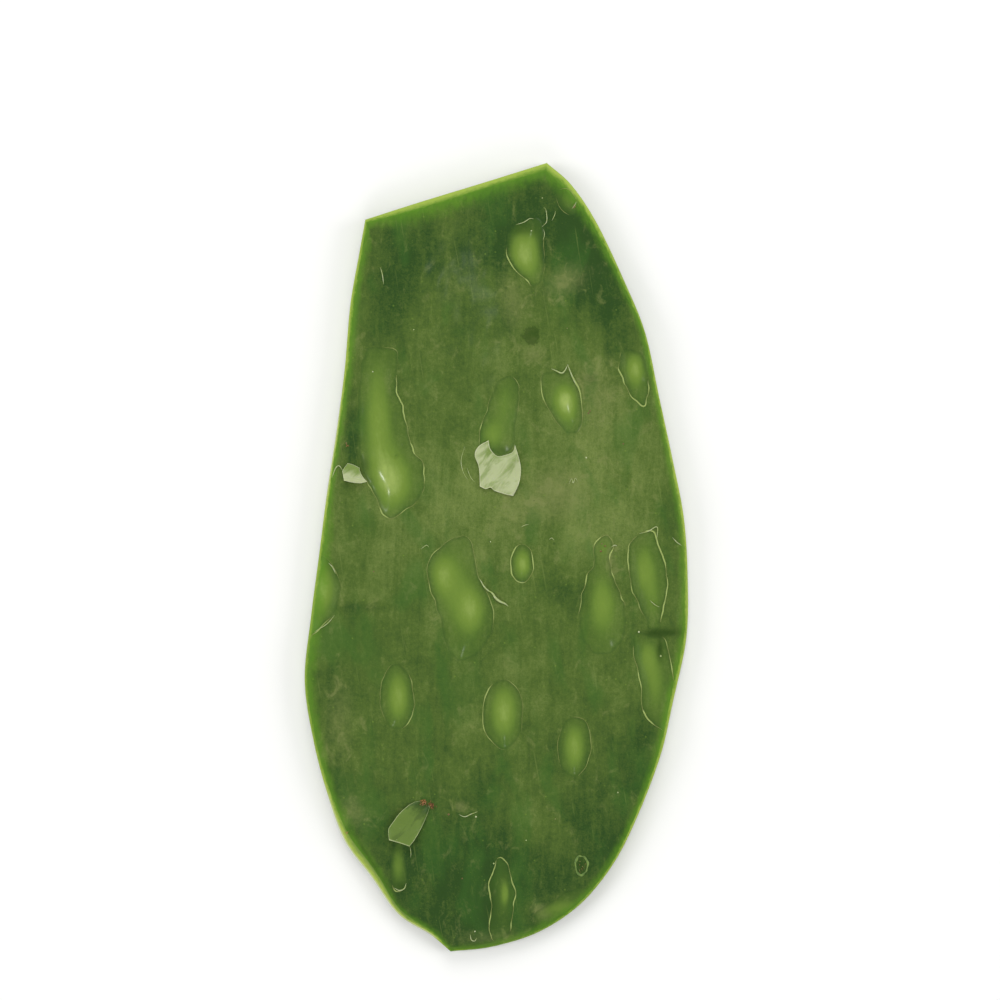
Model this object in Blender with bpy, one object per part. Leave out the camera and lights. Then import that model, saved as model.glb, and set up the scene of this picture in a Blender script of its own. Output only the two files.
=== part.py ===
"""Prickly pear cactus pad, trimmed for the kitchen and lying flat on one face.

The pad is one grown body. A knife has taken its rim off all round with a slanted cut, its stalk end is
cut straight across, and its spine cushions are sliced off, which leaves shallow oval scoops on both
faces and three slivers of skin that still hang on by one end.

+Y points to the cut stalk end and +Z up. The origin is on the table, under the middle of the pad's box.
"""

import math

import bmesh
import bpy
import numpy as np
from mathutils import Matrix, Vector

MM = 0.001

# Driving dimensions, in metres.
PAD_LENGTH = 218 * MM
PAD_WIDTH = 106 * MM
CROWN_AT_STALK = 11.2 * MM  # thickness along the middle, at the stalk end
CROWN_AT_TIP = 7.8 * MM  # the same at the far end
CROWN_FALL = 3.0  # power of the fall from the middle to the rim: higher keeps the middle flatter
FOOT = 1.5 * MM  # height of the rim's lower edge above the table
FLAT_SHARE = 0.62  # share of the way to the rim where the underside leaves the table
SLIVER_THICKNESS = 1.3 * MM

# How finely the body is divided.
STEPS_PER_SPAN = 3
TOP_RINGS = 8
RIM_RINGS = 2
UNDER_RINGS = 5
SCOOP_SEGMENTS = 16
SCOOP_RINGS = 10

# The rim, clockwise from above, in three runs that meet at corners. Each row is across and along, as shares
# of half the pad's width and length, then how far the trimming cut slants outwards and how high its upper
# edge stands, both in millimetres.
STALK_CUT = (
    (-0.682, 0.856, 1.4, 6.2),
    (-0.400, 0.900, 2.3, 8.3),
    (-0.050, 0.952, 2.4, 8.8),
    (0.265, 1.000, 2.8, 7.0),
)
RIGHT_RIM = (
    (0.265, 1.000, 2.8, 7.0),
    (0.395, 0.943, 3.4, 6.6),
    (0.525, 0.848, 3.0, 6.6),
    (0.668, 0.702, 2.2, 6.4),
    (0.778, 0.570, 1.8, 6.2),
    (0.852, 0.405, 1.6, 6.0),
    (0.925, 0.240, 1.6, 5.9),
    (0.980, 0.100, 1.6, 5.8),
    (1.000, -0.050, 1.5, 5.7),
    (0.993, -0.205, 1.4, 5.6),
    (0.924, -0.365, 1.3, 5.5),
    (0.860, -0.500, 1.2, 5.4),
    (0.740, -0.655, 1.0, 5.2),
    (0.612, -0.778, 1.0, 5.0),
    (0.440, -0.880, 1.2, 4.9),
    (0.225, -0.950, 1.4, 4.8),
    (-0.020, -0.988, 1.6, 4.8),
    (-0.237, -1.000, 1.5, 4.8),
)
LEFT_RIM = (
    (-0.237, -1.000, 1.5, 4.8),
    (-0.340, -0.958, 1.6, 4.8),
    (-0.510, -0.905, 1.9, 4.9),
    (-0.650, -0.810, 2.6, 5.0),
    (-0.785, -0.722, 2.5, 5.1),
    (-0.870, -0.615, 1.7, 5.3),
    (-0.948, -0.475, 1.2, 5.5),
    (-0.998, -0.315, 0.8, 5.7),
    (-0.965, -0.150, 0.8, 5.8),
    (-0.922, 0.010, 0.8, 5.9),
    (-0.880, 0.170, 0.9, 6.0),
    (-0.832, 0.320, 1.0, 6.1),
    (-0.790, 0.475, 1.2, 6.2),
    (-0.760, 0.640, 1.6, 6.3),
    (-0.712, 0.775, 1.6, 6.3),
    (-0.682, 0.856, 1.4, 6.2),
)

# Scoops where the spine cushions were sliced off: name, then x, y, length, width and depth in millimetres,
# turn in degrees anticlockwise from +Y, and how much narrower the end towards the stalk is.
TOP_SCOOPS = (
    ("shoulder", 9.0, 84.5, 21, 9.5, 1.5, 0, 0.1),
    ("stalk_corner", 19.0, 98.0, 12, 8.0, 1.1, 20, 0.0),
    ("left_large", -31.0, 31.5, 42, 17.0, 2.0, 9, 0.30),
    ("middle_faint", 2.5, 42.0, 15, 10.5, 0.7, 0, 0.2),
    ("right_upper", 18.0, 40.5, 19, 11.0, 1.5, 12, 0.2),
    ("right_edge", 39.0, 49.5, 16, 9.5, 1.4, 8, 0.1),
    ("centre_left", -10.5, -11.5, 34, 16.5, 1.7, 4, 0.2),
    ("centre_small", 7.0, -1.5, 10.5, 6.0, 0.8, 0, 0.0),
    ("centre_right", 29.0, -10.0, 31, 12.0, 1.4, 0, 0.45),
    ("far_right", 42.5, -6.5, 29, 11.0, 1.6, 4, 0.1),
    ("lower_right", 43.0, -34.0, 28, 12.0, 1.5, 12, 0.1),
    ("left_edge", -48.5, -10.5, 22, 11.0, 1.4, 4, 0.0),
    ("lower_left_a", -27.0, -38.0, 18, 10.0, 1.1, 6, 0.2),
    ("lower_middle", 2.0, -43.0, 19, 11.0, 1.2, -4, 0.2),
    ("lower_right_b", 21.5, -52.0, 17, 9.5, 1.1, 6, 0.2),
    ("tip_middle", 1.0, -94.0, 23, 7.5, 1.0, 2, 0.3),
    ("tip_left", -27.0, -86.0, 17, 6.0, 0.8, -14, 0.0),
    ("tip_right", 19.5, -93.5, 18, 7.5, 0.9, -56, 0.0),
)
UNDER_SCOOPS = (
    ("under_shoulder", -12.0, 72.0, 20, 10.0, 1.5, 0, 0.2),
    ("under_right", 22.0, 52.0, 24, 12.0, 1.6, 8, 0.2),
    ("under_left", -27.0, 30.0, 26, 12.0, 1.7, -6, 0.3),
    ("under_middle", 16.0, 16.0, 18, 10.0, 1.3, 0, 0.1),
    ("under_right_edge", 40.0, -14.0, 26, 11.0, 1.6, 4, 0.2),
    ("under_left_edge", -38.0, -22.0, 25, 12.0, 1.6, 2, 0.1),
    ("under_centre", -10.0, -28.0, 22, 11.0, 1.4, -8, 0.3),
    ("under_low", 15.0, -56.0, 21, 10.0, 1.4, 6, 0.2),
    ("under_tip", -16.0, -80.0, 18, 9.0, 1.2, -14, 0.2),
)

# Slivers of skin: name, then x and y of the middle, length and width in millimetres, turn from +Y as above,
# tilt that lifts the loose end, both in degrees, and how much wider the loose end is.
SLIVERS = (
    ("sliver_left", -39.0, 23.5, 7.0, 6.5, 88, 9, -0.1),
    ("sliver_middle", 0.2, 24.8, 14.0, 11.0, 0, 6, -0.2),
    ("sliver_lower", -23.8, -72.3, 15.0, 9.5, -30, 8, 0.1),
)

SKIN_GREEN = (0.090, 0.145, 0.040, 1.0)
FLESH_GREEN = (0.260, 0.360, 0.090, 1.0)


def clear_scene():
    for obj in list(bpy.data.objects):
        bpy.data.objects.remove(obj, do_unlink=True)


def new_collection(name):
    collection = bpy.data.collections.new(name)
    bpy.context.scene.collection.children.link(collection)
    return collection


def add_mesh_object(name, bm, collection, material):
    bmesh.ops.recalc_face_normals(bm, faces=bm.faces)
    mesh = bpy.data.meshes.new(name)
    bm.to_mesh(mesh)
    bm.free()
    mesh.shade_smooth()
    mesh.materials.append(material)
    obj = bpy.data.objects.new(name, mesh)
    collection.objects.link(obj)
    return obj


def principled(name, colour, roughness):
    material = bpy.data.materials.new(name)
    material.use_nodes = True
    shader = material.node_tree.nodes["Principled BSDF"]
    shader.inputs["Base Color"].default_value = colour
    shader.inputs["Roughness"].default_value = roughness
    shader.inputs["Metallic"].default_value = 0.0
    return material


def smooth_run(rows, steps):
    """Catmull-Rom curve through the rows, open at its ends and without its last point."""
    rows = np.array(rows)
    padded = np.vstack((2 * rows[0] - rows[1], rows, 2 * rows[-1] - rows[-2]))
    share = np.arange(steps)[:, None] / steps
    spans = []
    for before, start, end, after in zip(padded, padded[1:], padded[2:], padded[3:]):
        bend = 2 * before - 5 * start + 4 * end - after
        twist = 3 * start - before - 3 * end + after
        spans.append(start + 0.5 * ((end - before) * share + bend * share**2 + twist * share**3))
    return np.vstack(spans)


def rim_rows():
    """The whole rim in metres: x, y, slant and edge height, with its box exactly PAD_WIDTH by PAD_LENGTH."""
    rows = np.vstack([smooth_run(run, STEPS_PER_SPAN) for run in (STALK_CUT, RIGHT_RIM, LEFT_RIM)])
    low, high = rows[:, :2].min(axis=0), rows[:, :2].max(axis=0)
    rows[:, :2] = ((rows[:, :2] - low) / (high - low) - 0.5) * (PAD_WIDTH, PAD_LENGTH)
    rows[:, 2:] *= MM
    return rows


def crown(y):
    """Thickness along the middle of the pad: an even S from the tip to the stalk end."""
    share = min(max(y / PAD_LENGTH + 0.5, 0.0), 1.0)
    return CROWN_AT_TIP + (CROWN_AT_STALK - CROWN_AT_TIP) * share * share * (3 - 2 * share)


def pad_point(row, ring):
    """Where a ball's vertex goes: down the top face ring by ring, over the slanted rim, back underneath."""
    x, y, slant, edge = row
    reach = math.hypot(x, y)
    inset = 1 - slant / reach
    foot_ring = TOP_RINGS + RIM_RINGS
    if ring <= TOP_RINGS:
        share = ring / TOP_RINGS
        scale = share * inset
        fall = share**CROWN_FALL
        return x * scale, y * scale, crown(y * scale) * (1 - fall) + edge * fall
    if ring <= foot_ring:
        share = (ring - TOP_RINGS) / RIM_RINGS
        scale = inset + (1 - inset) * share
        return x * scale, y * scale, edge + (FOOT - edge) * share
    scale = (foot_ring + UNDER_RINGS - ring) / UNDER_RINGS
    rise = max(scale - FLAT_SHARE, 0) / (1 - FLAT_SHARE)
    return x * scale, y * scale, FOOT * rise**2


def pad_body(collection, material):
    """A ball with one segment for each rim row, its vertices moved to the pad's surface."""
    rim = rim_rows()
    rings = TOP_RINGS + RIM_RINGS + UNDER_RINGS
    bm = bmesh.new()
    bmesh.ops.create_uvsphere(bm, u_segments=len(rim), v_segments=rings, radius=1.0)
    for vert in bm.verts:
        ring = round(math.acos(max(-1.0, min(1.0, vert.co.z))) / math.pi * rings)
        turn = math.atan2(vert.co.y, vert.co.x) / math.tau
        vert.co = pad_point(rim[round(-turn * len(rim)) % len(rim)], ring)
    return add_mesh_object("pad", bm, collection, material)


def tapered_ball(length, width, height, taper):
    """An egg-shaped ball: width falls by the share taper at its +Y end and grows by it at the other."""
    bm = bmesh.new()
    bmesh.ops.create_uvsphere(bm, u_segments=SCOOP_SEGMENTS, v_segments=SCOOP_RINGS, radius=1.0)
    for vert in bm.verts:
        vert.co.x *= width / 2 * (1 - taper * vert.co.y)
        vert.co.y *= length / 2
        vert.co.z *= height / 2
    return bm


def surface_height(x, y, rim):
    """Height of the top face at x, y, from the rim row in that direction."""
    directions = np.arctan2(rim[:, 1], rim[:, 0]) - math.atan2(y, x)
    nearest = np.argmin(np.abs((directions + math.pi) % math.tau - math.pi))
    edge_x, edge_y, slant, edge = rim[nearest]
    share = min(math.hypot(x, y) / (math.hypot(edge_x, edge_y) - slant), 1.0)
    return crown(y) * (1 - share**CROWN_FALL) + edge * share**CROWN_FALL


def add_helper(name, bm, place, collection, material):
    """A mesh that a Boolean uses: drawn as wire and left out of renders."""
    bm.transform(place)
    helper = add_mesh_object(name, bm, collection, material)
    helper.hide_render = True
    helper.display_type = "WIRE"


def add_scoops(scoops, level_at, side, collection, material):
    """Egg-shaped cutters that reach their depth into the face at level_at(x, y); side is 1 on top, -1 below."""
    for name, x, y, length, width, depth, turn, taper in scoops:
        # A ball of height 4 x depth cut at its depth is sqrt(3) / 2 as wide as the ball itself.
        spread = 2 / math.sqrt(3)
        bm = tapered_ball(length * spread * MM, width * spread * MM, 4 * depth * MM, taper)
        middle = Vector((x * MM, y * MM, level_at(x * MM, y * MM) + side * depth * MM))
        place = Matrix.Translation(middle) @ Matrix.Rotation(math.radians(turn), 4, "Z")
        add_helper(name, bm, place, collection, material)


def add_slivers(rim, collection, material):
    """Thin tilted eggs, each sunk into the pad at the end that still holds on."""
    for name, x, y, length, width, turn, tilt, taper in SLIVERS:
        bm = tapered_ball(length * MM, width * MM, SLIVER_THICKNESS, taper)
        lean = Matrix.Rotation(math.radians(-tilt), 4, "X")
        middle = Vector((x * MM, y * MM, surface_height(x * MM, y * MM, rim) + SLIVER_THICKNESS / 3))
        place = Matrix.Translation(middle) @ Matrix.Rotation(math.radians(turn), 4, "Z") @ lean
        add_helper(name, bm, place, collection, material)


def add_boolean(obj, name, operation, collection):
    modifier = obj.modifiers.new(name, "BOOLEAN")
    modifier.operation = operation
    modifier.operand_type = "COLLECTION"
    modifier.collection = collection
    modifier.solver = "EXACT"


def main():
    clear_scene()
    parts = new_collection("prickly_pear_cactus_pad")
    cutters = new_collection("cutters")
    additions = new_collection("additions")
    skin = principled("cactus_skin", SKIN_GREEN, 0.35)
    flesh = principled("cut_flesh", FLESH_GREEN, 0.30)

    rim = rim_rows()
    pad = pad_body(parts, skin)
    add_scoops(TOP_SCOOPS, lambda x, y: surface_height(x, y, rim), 1, cutters, flesh)
    add_scoops(UNDER_SCOOPS, lambda x, y: 0.0, -1, cutters, flesh)
    add_slivers(rim, additions, skin)
    add_boolean(pad, "scoops", "DIFFERENCE", cutters)
    add_boolean(pad, "slivers", "UNION", additions)


main()
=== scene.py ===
"""Prickly pear pad, trimmed for the kitchen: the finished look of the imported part.

One fine skin, with its slanted trimmed rim and the scoops that a knife left on both faces, stands in the
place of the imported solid. Small pieces lie on it: the raised lips of cut skin, three hanging slivers, torn
fibres, one spine cushion that the knife missed, and a few barbed bristles. +Y points to the cut stalk end
and +Z up. Everything is in metres; tables in millimetres are multiplied by MM where they are read.
"""

import math

import bpy
import numpy as np
from bpy.props import FloatProperty, FloatVectorProperty, IntProperty, PointerProperty
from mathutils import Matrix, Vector


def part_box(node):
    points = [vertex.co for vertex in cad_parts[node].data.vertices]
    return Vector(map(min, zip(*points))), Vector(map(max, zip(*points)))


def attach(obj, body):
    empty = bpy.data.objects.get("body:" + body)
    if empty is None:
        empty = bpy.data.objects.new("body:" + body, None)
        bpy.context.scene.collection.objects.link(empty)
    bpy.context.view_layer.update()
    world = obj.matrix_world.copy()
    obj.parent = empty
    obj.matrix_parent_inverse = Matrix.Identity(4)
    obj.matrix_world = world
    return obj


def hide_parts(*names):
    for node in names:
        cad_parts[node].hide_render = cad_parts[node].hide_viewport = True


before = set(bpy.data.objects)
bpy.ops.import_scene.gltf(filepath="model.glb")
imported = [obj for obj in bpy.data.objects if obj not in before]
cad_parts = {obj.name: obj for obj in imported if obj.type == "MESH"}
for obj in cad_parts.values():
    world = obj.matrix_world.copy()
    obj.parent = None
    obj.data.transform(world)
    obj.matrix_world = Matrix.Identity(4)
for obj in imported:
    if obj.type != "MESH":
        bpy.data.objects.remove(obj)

bl_info = {
    "name": "Prickly Pear Pad",
    "version": (1, 0, 0),
    "blender": (4, 5, 0),
    "location": "3D View > Sidebar > Prickly Pear",
    "description": "Builds a trimmed prickly pear pad and the small studio that it lies in",
    "category": "Add Mesh",
}

MM = 0.001
BODY = "root"
CAD_LOW, CAD_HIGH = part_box("pad")
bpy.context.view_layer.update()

# ---------------------------------------------------------------------------------------------------
# Tables of the pad. Rim rows run clockwise from above in three runs that meet at corners: across and
# along as shares of half the pad's width and length, how far the trimming cut slants outwards and how
# high its upper edge stands, in millimetres, then how pale its outermost line is, how many millimetres
# the light green fades inwards, and how plainly the cut face shows as a band of its own.
# ---------------------------------------------------------------------------------------------------
STALK_CUT = (
    (-0.682, 0.856, 1.4, 6.2, 0.7, 4.0, 0.0),
    (-0.400, 0.900, 2.3, 8.3, 0.8, 7.5, 0.1),
    (-0.050, 0.952, 2.4, 8.8, 0.8, 7.0, 0.1),
    (0.265, 1.000, 2.8, 7.0, 0.8, 6.5, 0.1),
)
RIGHT_RIM = (
    (0.265, 1.000, 2.8, 7.0, 0.8, 6.5, 0.1),
    (0.395, 0.943, 3.4, 6.6, 0.8, 5.5, 0.1),
    (0.525, 0.848, 3.0, 6.6, 0.8, 4.0, 0.0),
    (0.668, 0.702, 2.2, 6.4, 0.6, 3.0, 0.0),
    (0.778, 0.570, 1.8, 6.2, 0.6, 2.6, 0.0),
    (0.852, 0.405, 1.6, 6.0, 0.7, 2.6, 0.1),
    (0.925, 0.240, 1.6, 5.9, 0.8, 3.0, 0.2),
    (0.980, 0.100, 1.6, 5.8, 0.8, 3.2, 0.2),
    (1.000, -0.050, 1.5, 5.7, 0.7, 3.4, 0.1),
    (0.993, -0.205, 1.4, 5.6, 0.7, 3.4, 0.0),
    (0.924, -0.365, 1.3, 5.5, 0.8, 3.4, 0.0),
    (0.860, -0.500, 1.2, 5.4, 0.8, 3.2, 0.0),
    (0.740, -0.655, 1.0, 5.2, 0.8, 3.0, 0.0),
    (0.612, -0.778, 1.0, 5.0, 0.7, 3.2, 0.0),
    (0.440, -0.880, 1.2, 4.9, 0.5, 3.0, 0.0),
    (0.225, -0.950, 1.4, 4.8, 0.35, 3.2, 0.0),
    (-0.020, -0.988, 1.6, 4.8, 0.25, 2.8, 0.1),
    (-0.237, -1.000, 1.5, 4.8, 0.3, 2.4, 0.0),
)
LEFT_RIM = (
    (-0.237, -1.000, 1.5, 4.8, 0.3, 2.4, 0.0),
    (-0.340, -0.958, 1.6, 4.8, 1.0, 3.0, 0.1),
    (-0.510, -0.905, 1.9, 4.9, 1.0, 3.2, 0.7),
    (-0.650, -0.810, 2.6, 5.0, 1.0, 5.0, 1.0),
    (-0.785, -0.722, 2.5, 5.1, 1.0, 5.0, 0.8),
    (-0.870, -0.615, 1.7, 5.3, 0.9, 3.8, 0.3),
    (-0.948, -0.475, 1.2, 5.5, 0.6, 4.0, 0.0),
    (-0.998, -0.315, 0.8, 5.7, 0.5, 4.6, 0.0),
    (-0.965, -0.150, 0.8, 5.8, 0.5, 5.0, 0.0),
    (-0.922, 0.010, 0.8, 5.9, 0.6, 4.6, 0.0),
    (-0.880, 0.170, 0.9, 6.0, 0.9, 3.0, 0.0),
    (-0.832, 0.320, 1.0, 6.1, 0.9, 2.6, 0.0),
    (-0.790, 0.475, 1.2, 6.2, 0.8, 3.4, 0.0),
    (-0.760, 0.640, 1.6, 6.3, 0.8, 3.6, 0.0),
    (-0.712, 0.775, 1.6, 6.3, 0.7, 3.4, 0.0),
    (-0.682, 0.856, 1.4, 6.2, 0.7, 4.0, 0.0),
)
RIM_STEPS = 40  # points between two rows of the rim
OUTLINE_STEPS = 8  # points between two points of a scoop's outline
LOWER_RIGHT_ROW = 13  # row of RIGHT_RIM where the skin's grid turns its lower right corner
LOWER_LEFT_ROW = 3  # row of LEFT_RIM where it turns its lower left corner

# Scoops on the upper face: name, depth in millimetres, pale hearts of flesh (x, y, half width, half length
# and how pale), lips (first and last outline point, then how strong), and the outline's points, clockwise.
TOP_SCOOPS = (
    ("shoulder", 0.9, ((7.4, 84.2, 4.2, 5.6, 0.42), (8.0, 80.4, 4.4, 6.4, 0.26)),
     ((9, 14, 0.9), (3, 6, 0.25), (6, 8, 0.2)),
     ((5.1, 91.4), (6.5, 92.1), (10.3, 93.1), (12.5, 92.3), (12.9, 88.7), (13.2, 84.6), (13.3, 81.3),
      (13.1, 78.5), (12.0, 75.2), (9.7, 74.3), (8.5, 75.6), (6.5, 77.7), (4.2, 80.0), (3.0, 82.6),
      (2.8, 85.7), (3.3, 89.0))),
    ("stalk_corner", 0.4, ((19.6, 98.0, 2.2, 2.6, 0.16),),
     ((0, 3, 0.3), (4, 6, 0.3)),
     ((16.6, 100.1), (19.1, 101.4), (21.4, 99.6), (22.6, 96.7), (21.0, 93.8), (17.4, 95.8))),
    ("left_large", 1.1, ((-29.2, 20.6, 5.4, 8.0, 0.72), (-32.6, 38.0, 3.8, 15.0, 0.46)),
     ((1, 3, 0.3), (3, 9, 0.9), (9, 10, 0.4), (10, 15, 0.7)),
     ((-35.5, 57.0), (-31.0, 57.6), (-27.2, 56.4), (-27.2, 50.5), (-27.4, 45.8), (-25.6, 41.5),
      (-24.3, 34.4), (-22.4, 28.9), (-20.0, 26.0), (-19.8, 20.0), (-21.0, 16.2), (-25.9, 12.4),
      (-28.8, 10.6), (-31.2, 12.0), (-33.7, 17.9), (-36.0, 22.0), (-37.8, 30.0), (-38.0, 42.0),
      (-37.2, 52.0))),
    ("middle_faint", 0.4, ((2.4, 42.0, 3.4, 7.0, 0.2), (-1.4, 33.5, 3.2, 4.0, 0.34)),
     ((1, 4, 0.4), (8, 11, 0.5)),
     ((1.0, 48.8), (3.7, 49.9), (5.9, 47.7), (6.2, 42.8), (5.4, 37.3), (4.8, 30.7), (1.5, 27.9),
      (-1.8, 29.6), (-4.4, 30.7), (-4.3, 35.6), (-2.3, 41.1), (-1.0, 45.5))),
    ("right_upper", 0.9, ((19.0, 42.8, 3.2, 4.2, 0.66), (19.4, 39.0, 3.0, 6.0, 0.16)),
     ((2, 8, 1.0), (8, 10, 0.35), (11, 16, 0.55)),
     ((15.2, 51.2), (17.9, 50.5), (19.5, 51.6), (20.4, 50.6), (21.1, 48.8), (22.3, 46.5), (22.9, 43.9),
      (23.5, 40.1), (23.4, 37.0), (22.1, 34.4), (19.7, 34.0), (17.7, 35.8), (15.5, 38.7), (13.6, 41.7),
      (12.4, 44.7), (12.2, 48.0), (12.8, 50.4))),
    ("right_edge", 0.7, ((38.2, 51.6, 2.4, 4.4, 0.6),),
     ((4, 12, 1.0), (12, 13, 0.4)),
     ((36.2, 57.1), (39.5, 56.6), (40.6, 55.0), (41.5, 52.2), (41.9, 48.8), (41.9, 45.4), (41.2, 43.1),
      (40.4, 41.7), (38.6, 42.8), (36.5, 45.0), (34.4, 49.3), (33.5, 52.0), (33.7, 54.2), (34.6, 56.6))),
    ("centre_left", 1.0,
     ((-15.2, -4.6, 3.2, 5.6, 0.5), (-6.6, -14.0, 3.8, 6.0, 0.44), (-11.0, -9.0, 6.5, 12.0, 0.24)),
     ((0, 6, 0.4), (10, 15, 0.45)),
     ((-11.4, 5.4), (-8.1, 5.9), (-6.2, 1.5), (-5.1, -4.8), (-2.6, -9.5), (-0.7, -15.0), (-1.8, -21.6),
      (-5.6, -26.5), (-10.6, -28.2), (-13.9, -23.8), (-15.5, -16.6), (-18.0, -8.9), (-19.1, -3.7),
      (-17.7, 0.4), (-14.7, 3.4))),
    ("centre_small", 0.6, ((7.2, -1.6, 2.2, 3.4, 0.6),),
     ((0, 9, 0.75),),
     ((7.0, 3.7), (8.9, 2.6), (10.0, -0.4), (9.8, -4.3), (8.1, -6.5), (5.9, -6.5), (4.3, -4.3),
      (4.0, -0.4), (5.1, 2.6))),
    ("centre_right", 0.9, ((29.2, -12.5, 3.8, 8.0, 0.42), (29.3, 2.6, 1.8, 2.2, 0.34)),
     ((0, 7, 0.9), (7, 10, 0.7), (15, 20, 0.55)),
     ((26.8, 0.0), (26.4, 2.4), (27.8, 4.8), (30.2, 6.1), (31.8, 4.8), (31.9, 2.8), (31.2, 0.0),
      (31.5, -2.8), (32.6, -6.9), (34.2, -10.3), (35.4, -14.4), (35.1, -21.6), (31.8, -26.0),
      (27.4, -26.5), (24.1, -23.2), (22.6, -17.0), (23.2, -11.7), (24.0, -8.3), (25.0, -4.8),
      (26.4, -2.4))),
    ("far_right", 0.9, ((40.6, -3.2, 2.8, 6.0, 0.42), (43.0, -11.5, 2.6, 7.0, 0.24)),
     ((0, 7, 1.0), (10, 16, 0.6)),
     ((39.1, 6.7), (42.6, 7.2), (43.9, 4.8), (45.7, 0.0), (46.9, -4.1), (46.7, -9.6), (46.0, -13.8),
      (45.0, -17.9), (44.8, -19.6), (41.5, -19.6), (40.8, -16.5), (39.1, -13.1), (37.4, -8.9),
      (36.4, -4.1), (36.0, 0.0), (36.7, 3.8))),
    ("lower_right", 0.8, ((41.4, -28.0, 2.6, 5.0, 0.36), (43.6, -35.0, 2.8, 7.0, 0.26)),
     ((2, 5, 0.6), (8, 14, 0.9)),
     ((37.8, -20.8), (41.0, -20.6), (45.7, -22.0), (47.0, -24.8), (48.0, -29.6), (48.8, -34.4),
      (48.4, -40.0), (47.3, -46.0), (46.1, -47.8), (42.9, -45.4), (40.5, -42.6), (40.0, -39.2),
      (39.5, -33.7), (38.0, -28.2), (37.4, -24.1))),
    ("left_edge", 0.7, ((-48.6, -8.4, 3.6, 6.0, 0.66),),
     ((0, 3, 0.35), (5, 7, 0.5)),
     ((-48.5, 0.4), (-45.5, -1.2), (-43.9, -4.5), (-42.5, -8.4), (-43.3, -12.5), (-45.0, -15.8),
      (-49.6, -20.5), (-52.0, -22.0), (-51.6, -15.0), (-50.0, -4.0))),
    ("lower_left", 0.9, ((-26.8, -38.0, 3.0, 6.5, 0.5),),
     ((1, 4, 0.5), (5, 8, 0.3)),
     ((-27.5, -29.0), (-24.4, -31.5), (-22.6, -37.0), (-23.2, -43.5), (-26.3, -47.2), (-29.8, -45.8),
      (-31.8, -40.0), (-31.0, -33.0))),
    ("lower_middle", 1.0, ((2.2, -42.0, 3.6, 7.0, 0.56),),
     ((0, 3, 0.35), (4, 8, 0.5)),
     ((2.6, -33.6), (5.8, -36.0), (7.3, -41.5), (6.4, -48.2), (3.0, -52.4), (-1.0, -50.8), (-3.6, -45.5),
      (-3.2, -38.6), (-0.4, -34.4))),
    ("lower_right_inner", 0.9, ((21.4, -52.0, 2.8, 6.0, 0.5),),
     ((0, 4, 0.5), (5, 7, 0.3)),
     ((21.0, -43.6), (24.4, -45.0), (26.0, -50.2), (24.8, -57.0), (21.6, -60.4), (18.2, -58.2),
      (16.8, -52.5), (18.0, -46.2))),
    ("tip_middle", 0.7, ((2.5, -92.4, 0.9, 2.8, 0.28), (1.8, -92.5, 1.9, 6.5, 0.13)),
     ((0, 7, 0.8), (9, 17, 0.85)),
     ((0.2, -83.0), (1.4, -82.4), (3.0, -84.0), (3.9, -87.8), (5.1, -91.9), (4.9, -94.6), (4.4, -99.2),
      (3.6, -103.2), (1.6, -105.2), (-0.8, -105.6), (-2.0, -103.3), (-1.8, -99.5), (-1.1, -96.0),
      (-1.6, -93.3), (-2.2, -90.0), (-1.6, -88.0), (-0.6, -85.4))),
    ("tip_left", 0.5, ((-27.0, -84.6, 2.4, 5.0, 0.24),),
     ((4, 6, 0.7),),
     ((-27.1, -78.2), (-25.4, -80.4), (-24.6, -84.8), (-24.6, -88.8), (-25.6, -91.4), (-27.6, -91.9),
      (-28.8, -89.9), (-29.2, -85.4), (-28.7, -80.7))),
    ("tip_right", 0.4, ((17.5, -96.5, 7.0, 2.6, 0.24),),
     (),
     ((10.3, -98.3), (14.2, -95.3), (18.0, -92.8), (22.1, -90.9), (25.3, -91.3), (24.7, -93.8),
      (21.6, -97.0), (16.4, -99.8), (12.0, -101.0))),
)

# Scoops on the underside: depth in millimetres, x, y, length and width of an egg in millimetres, its turn
# in degrees anticlockwise from +Y, and how much narrower its end towards the stalk is.
UNDER_SCOOPS = (
    (1.5, -12.0, 72.0, 20.0, 10.0, 0, 0.2),
    (1.6, 22.0, 52.0, 24.0, 12.0, 8, 0.2),
    (1.7, -27.0, 30.0, 26.0, 12.0, -6, 0.3),
    (1.3, 16.0, 16.0, 18.0, 10.0, 0, 0.1),
    (1.6, 40.0, -14.0, 26.0, 11.0, 4, 0.2),
    (1.6, -38.0, -22.0, 25.0, 12.0, 2, 0.1),
    (1.4, -10.0, -28.0, 22.0, 11.0, -8, 0.3),
    (1.4, 15.0, -56.0, 21.0, 10.0, 6, 0.2),
    (1.2, -16.0, -80.0, 18.0, 9.0, -14, 0.2),
)
UNDER_REACH = 0.985  # the underside's grid ends at this share of the way out
UNDER_PALE = 0.6  # how pale the heart of each of them is
UNDER_LIPS = ((1, 7, 0.8), (9, 15, 0.6))

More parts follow.
